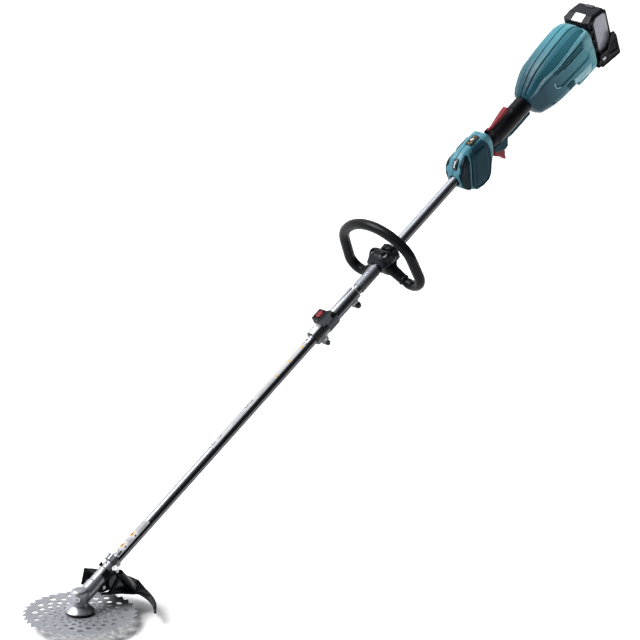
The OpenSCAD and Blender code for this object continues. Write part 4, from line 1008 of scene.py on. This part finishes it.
# ---- stickers on the pipes
def wrap(name, rects, radius):
    """Thin curved stickers: from and to along, from and to in degrees, lift, material."""
    bm = bmesh.new()
    mats = []
    for s0, s1, a0, a1, lift, mat in rects:
        if mat not in mats:
            mats.append(mat)
        n = max(2, int(abs(a1 - a0) / 6) + 1)
        grid = {}
        for k, rr in enumerate((radius - 0.12, radius + lift)):
            for i, s in enumerate((s0, s1)):
                for j in range(n):
                    a = math.radians(a0 + (a1 - a0) * j / (n - 1))
                    grid[k, i, j] = bm.verts.new((s, -rr * math.sin(a), rr * math.cos(a)))
        made = []
        for j in range(n - 1):
            for quad in ("100 110 111 101", "001 011 010 000", "000 100 101 001",
                    "011 111 110 010"):
                made.append([(int(c[0]), int(c[1]), j + int(c[2])) for c in quad.split()])
        made += [[(0, 0, j), (0, 1, j), (1, 1, j), (1, 0, j)] for j in (0, n - 1)]
        for quad in made:
            bm.faces.new([grid[key] for key in quad]).material_index = mats.index(mat)
    bmesh.ops.recalc_face_normals(bm, faces=bm.faces)
    finish_piece(mesh_of(bm, name, PIPE), mats, "attachment", "", 30)


def lines(s0, s1, a0, a1, rows, gap, seed, lift=0.16, mat="ink"):
    """Rows of short bars that stand in for small print."""
    rng = np.random.default_rng(seed)
    out = []
    for k in range(rows):
        a = a0 + (a1 - a0) * (k + 0.5) / rows
        s = s0
        while s < s1 - 2:
            run = float(rng.uniform(1.6, 5.5))
            out.append((s, min(s + run, s1), a - 2.0, a + 2.0, lift, mat))
            s += run + gap
    return out


def make_stickers():
    r = 12.0
    rects = [(118, 219, -48, 52, 0.1, "print_grey")]
    for s in (146, 178):
        rects += [(s - 7, s + 6, -40, 10, 0.14, "amber"), (s - 4, s + 3, -30, -4, 0.18, "ink")]
        rects += [(s - 6, s + 5, 20, 44, 0.14, "pale_grey"), (s - 3, s + 2, 24, 40, 0.18, "ink")]
    rects += [(121, 133, -36, 8, 0.14, "ink"), (123.5, 130.5, -26, -2, 0.18, "paper"),
        (121, 133, 18, 42, 0.14, "ink")]
    rects += lines(188, 216, -40, 44, 7, 1.2, 3) + lines(157, 168, -40, 44, 7, 1.2, 4)
    wrap("sticker_low", rects, r)
    rects = [(431, 741, -50, 34, 0.1, "print_grey")]
    rects += lines(470, 545, -44, -8, 3, 1.6, 5) + lines(560, 640, -44, -8, 3, 1.8, 6,
        mat="amber_ink")
    rects += lines(648, 728, -44, -6, 3, 1.8, 7, mat="amber_ink") + lines(500, 545, 0, 32, 2, 1.6,
        8)
    rects += lines(585, 640, 2, 32, 2, 2.2, 9)
    for s in (442, 462, 552, 566):
        rects += [(s - 5, s + 5, -38, 4, 0.14, "ink"), (s - 2.4, s + 2.4, -28, -8, 0.18, "paper")]
    for s in (645, 690, 732):
        rects.append((s - 3, s + 3, 6, 30, 0.14, "amber"))
    wrap("sticker_long", rects, r)
    wrap("sticker_arrow", [(746, 758, -34, 30, 0.1, "paper"), (749, 755, -16, 12, 0.15, "ink")], r)


# ---- the CAD parts that stay
# width of the eased edges in mm, and looks that differ from the part's own material slot
BEVELS = {"coupling_collar": 0.5, "clamp_lever": 0.6, "lock_ring": 0.7, "battery_button": 0.8,
    "saw_blade": 0.25, "ground_cup": 0.6}
LOOKS = {"spacer_sleeve": "satin_grey", "coupling_collar": "collar_metal",
    "clamp_lever": "saddle_black"}
WELD = 2e-6  # points closer than this, in m, are one
BEVEL_ANGLE = 32


def dress(entry):
    """Gives a CAD node its material and, where asked, eased edges."""
    node = entry["node"]
    o = NODES[node]
    o.data.materials.clear()
    o.data.materials.append(MAT[LOOKS.get(node, entry["material_slot"])])
    o.modifiers.new("weld", "WELD").merge_threshold = WELD
    if node in BEVELS:
        b = o.modifiers.new("bevel", "BEVEL")
        b.width = BEVELS[node] / 1000
        b.segments = 2
        b.limit_method = "ANGLE"
        b.angle_limit = math.radians(BEVEL_ANGLE)
        b.harden_normals = False


for entry in frame["record"]["subparts"]:
    dress(entry)
make_housing()
make_box()
make_handle()
make_grip()
make_coupling()
make_head()
make_guard()
make_battery()
make_stickers()
make_battery_guard()
make_bolts()


# ---- floor and light
FLOOR_Z = -0.0005  # just under the blade's cup, in m
MIDDLE = (0.75, 0, 0.45)  # of the object, in m
# where the sky is brightest: above and to the left of the camera, so it is dim on its right
BRIGHT = (-0.10, 0.75, 0.65)


def make_floor():
    mesh = bpy.data.meshes.new("floor")
    bm = bmesh.new()
    bmesh.ops.create_grid(bm, x_segments=8, y_segments=8, size=60)
    bm.to_mesh(mesh)
    bm.free()
    floor = bpy.data.objects.new("floor", mesh)
    floor.location = (0, 0, FLOOR_Z)
    bpy.context.collection.objects.link(floor)
    m = Nodes(bpy.data.materials.new("floor"))
    noise = m.add("TexNoise", Vector=(m.add("TexCoord"), "Object"), Scale=3.0, Detail=4.0)
    m.put(m.bsdf, Base_Color=m.ramp(noise, "Fac", [(0.3, 0.93), (0.7, 0.95)]), Roughness=0.9,
          Specular_IOR_Level=0.1)
    mesh.materials.append(m.mat)


def lamp(name, kind, power, way, axis, **more):
    """Light that shines along its local -Z; way is where its given axis points."""
    data = bpy.data.lights.new(name, kind)
    data.energy = power
    for k, v in more.items():
        setattr(data, k, v)
    o = bpy.data.objects.new(name, data)
    o.rotation_mode = "QUATERNION"
    o.rotation_quaternion = Vector(way).to_track_quat(axis, "Y")
    bpy.context.collection.objects.link(o)
    return o


def area(name, place, power, width, height):
    way = Vector(MIDDLE) - Vector(place)
    lamp(name, "AREA", power, way, "-Z", shape="RECTANGLE", size=width,
        size_y=height).location = place


def make_light():
    sky = Nodes(bpy.data.worlds.new("studio"), "Background")
    dot = sky.add("VectorMath", Vector=(sky.add("TexCoord"), "Generated"))
    dot.operation = "DOT_PRODUCT"
    dot.inputs[1].default_value = Vector(BRIGHT).normalized()
    tones = [(at, (v, v, v * 1.02)) for at, v in ((0.0, 0.03), (0.5, 0.22), (0.85, 1.0))]
    sky.put(sky.bsdf, Color=sky.ramp(dot, "Value", tones), Strength=1.1)
    bpy.context.scene.world = sky.mat
    lamp("key", "SUN", 4.2, (-0.45, 0.40, 0.80), "Z", angle=math.radians(36))
    area("sheen", (-1.2, 1.5, 2.6), 26, 0.9, 2.4)
    area("edge", (2.2, -2.6, 0.9), 5, 0.5, 2.0)


make_floor()
make_light()
bpy.context.scene.view_settings.view_transform = "Standard"
bpy.context.scene.view_settings.look = "None"
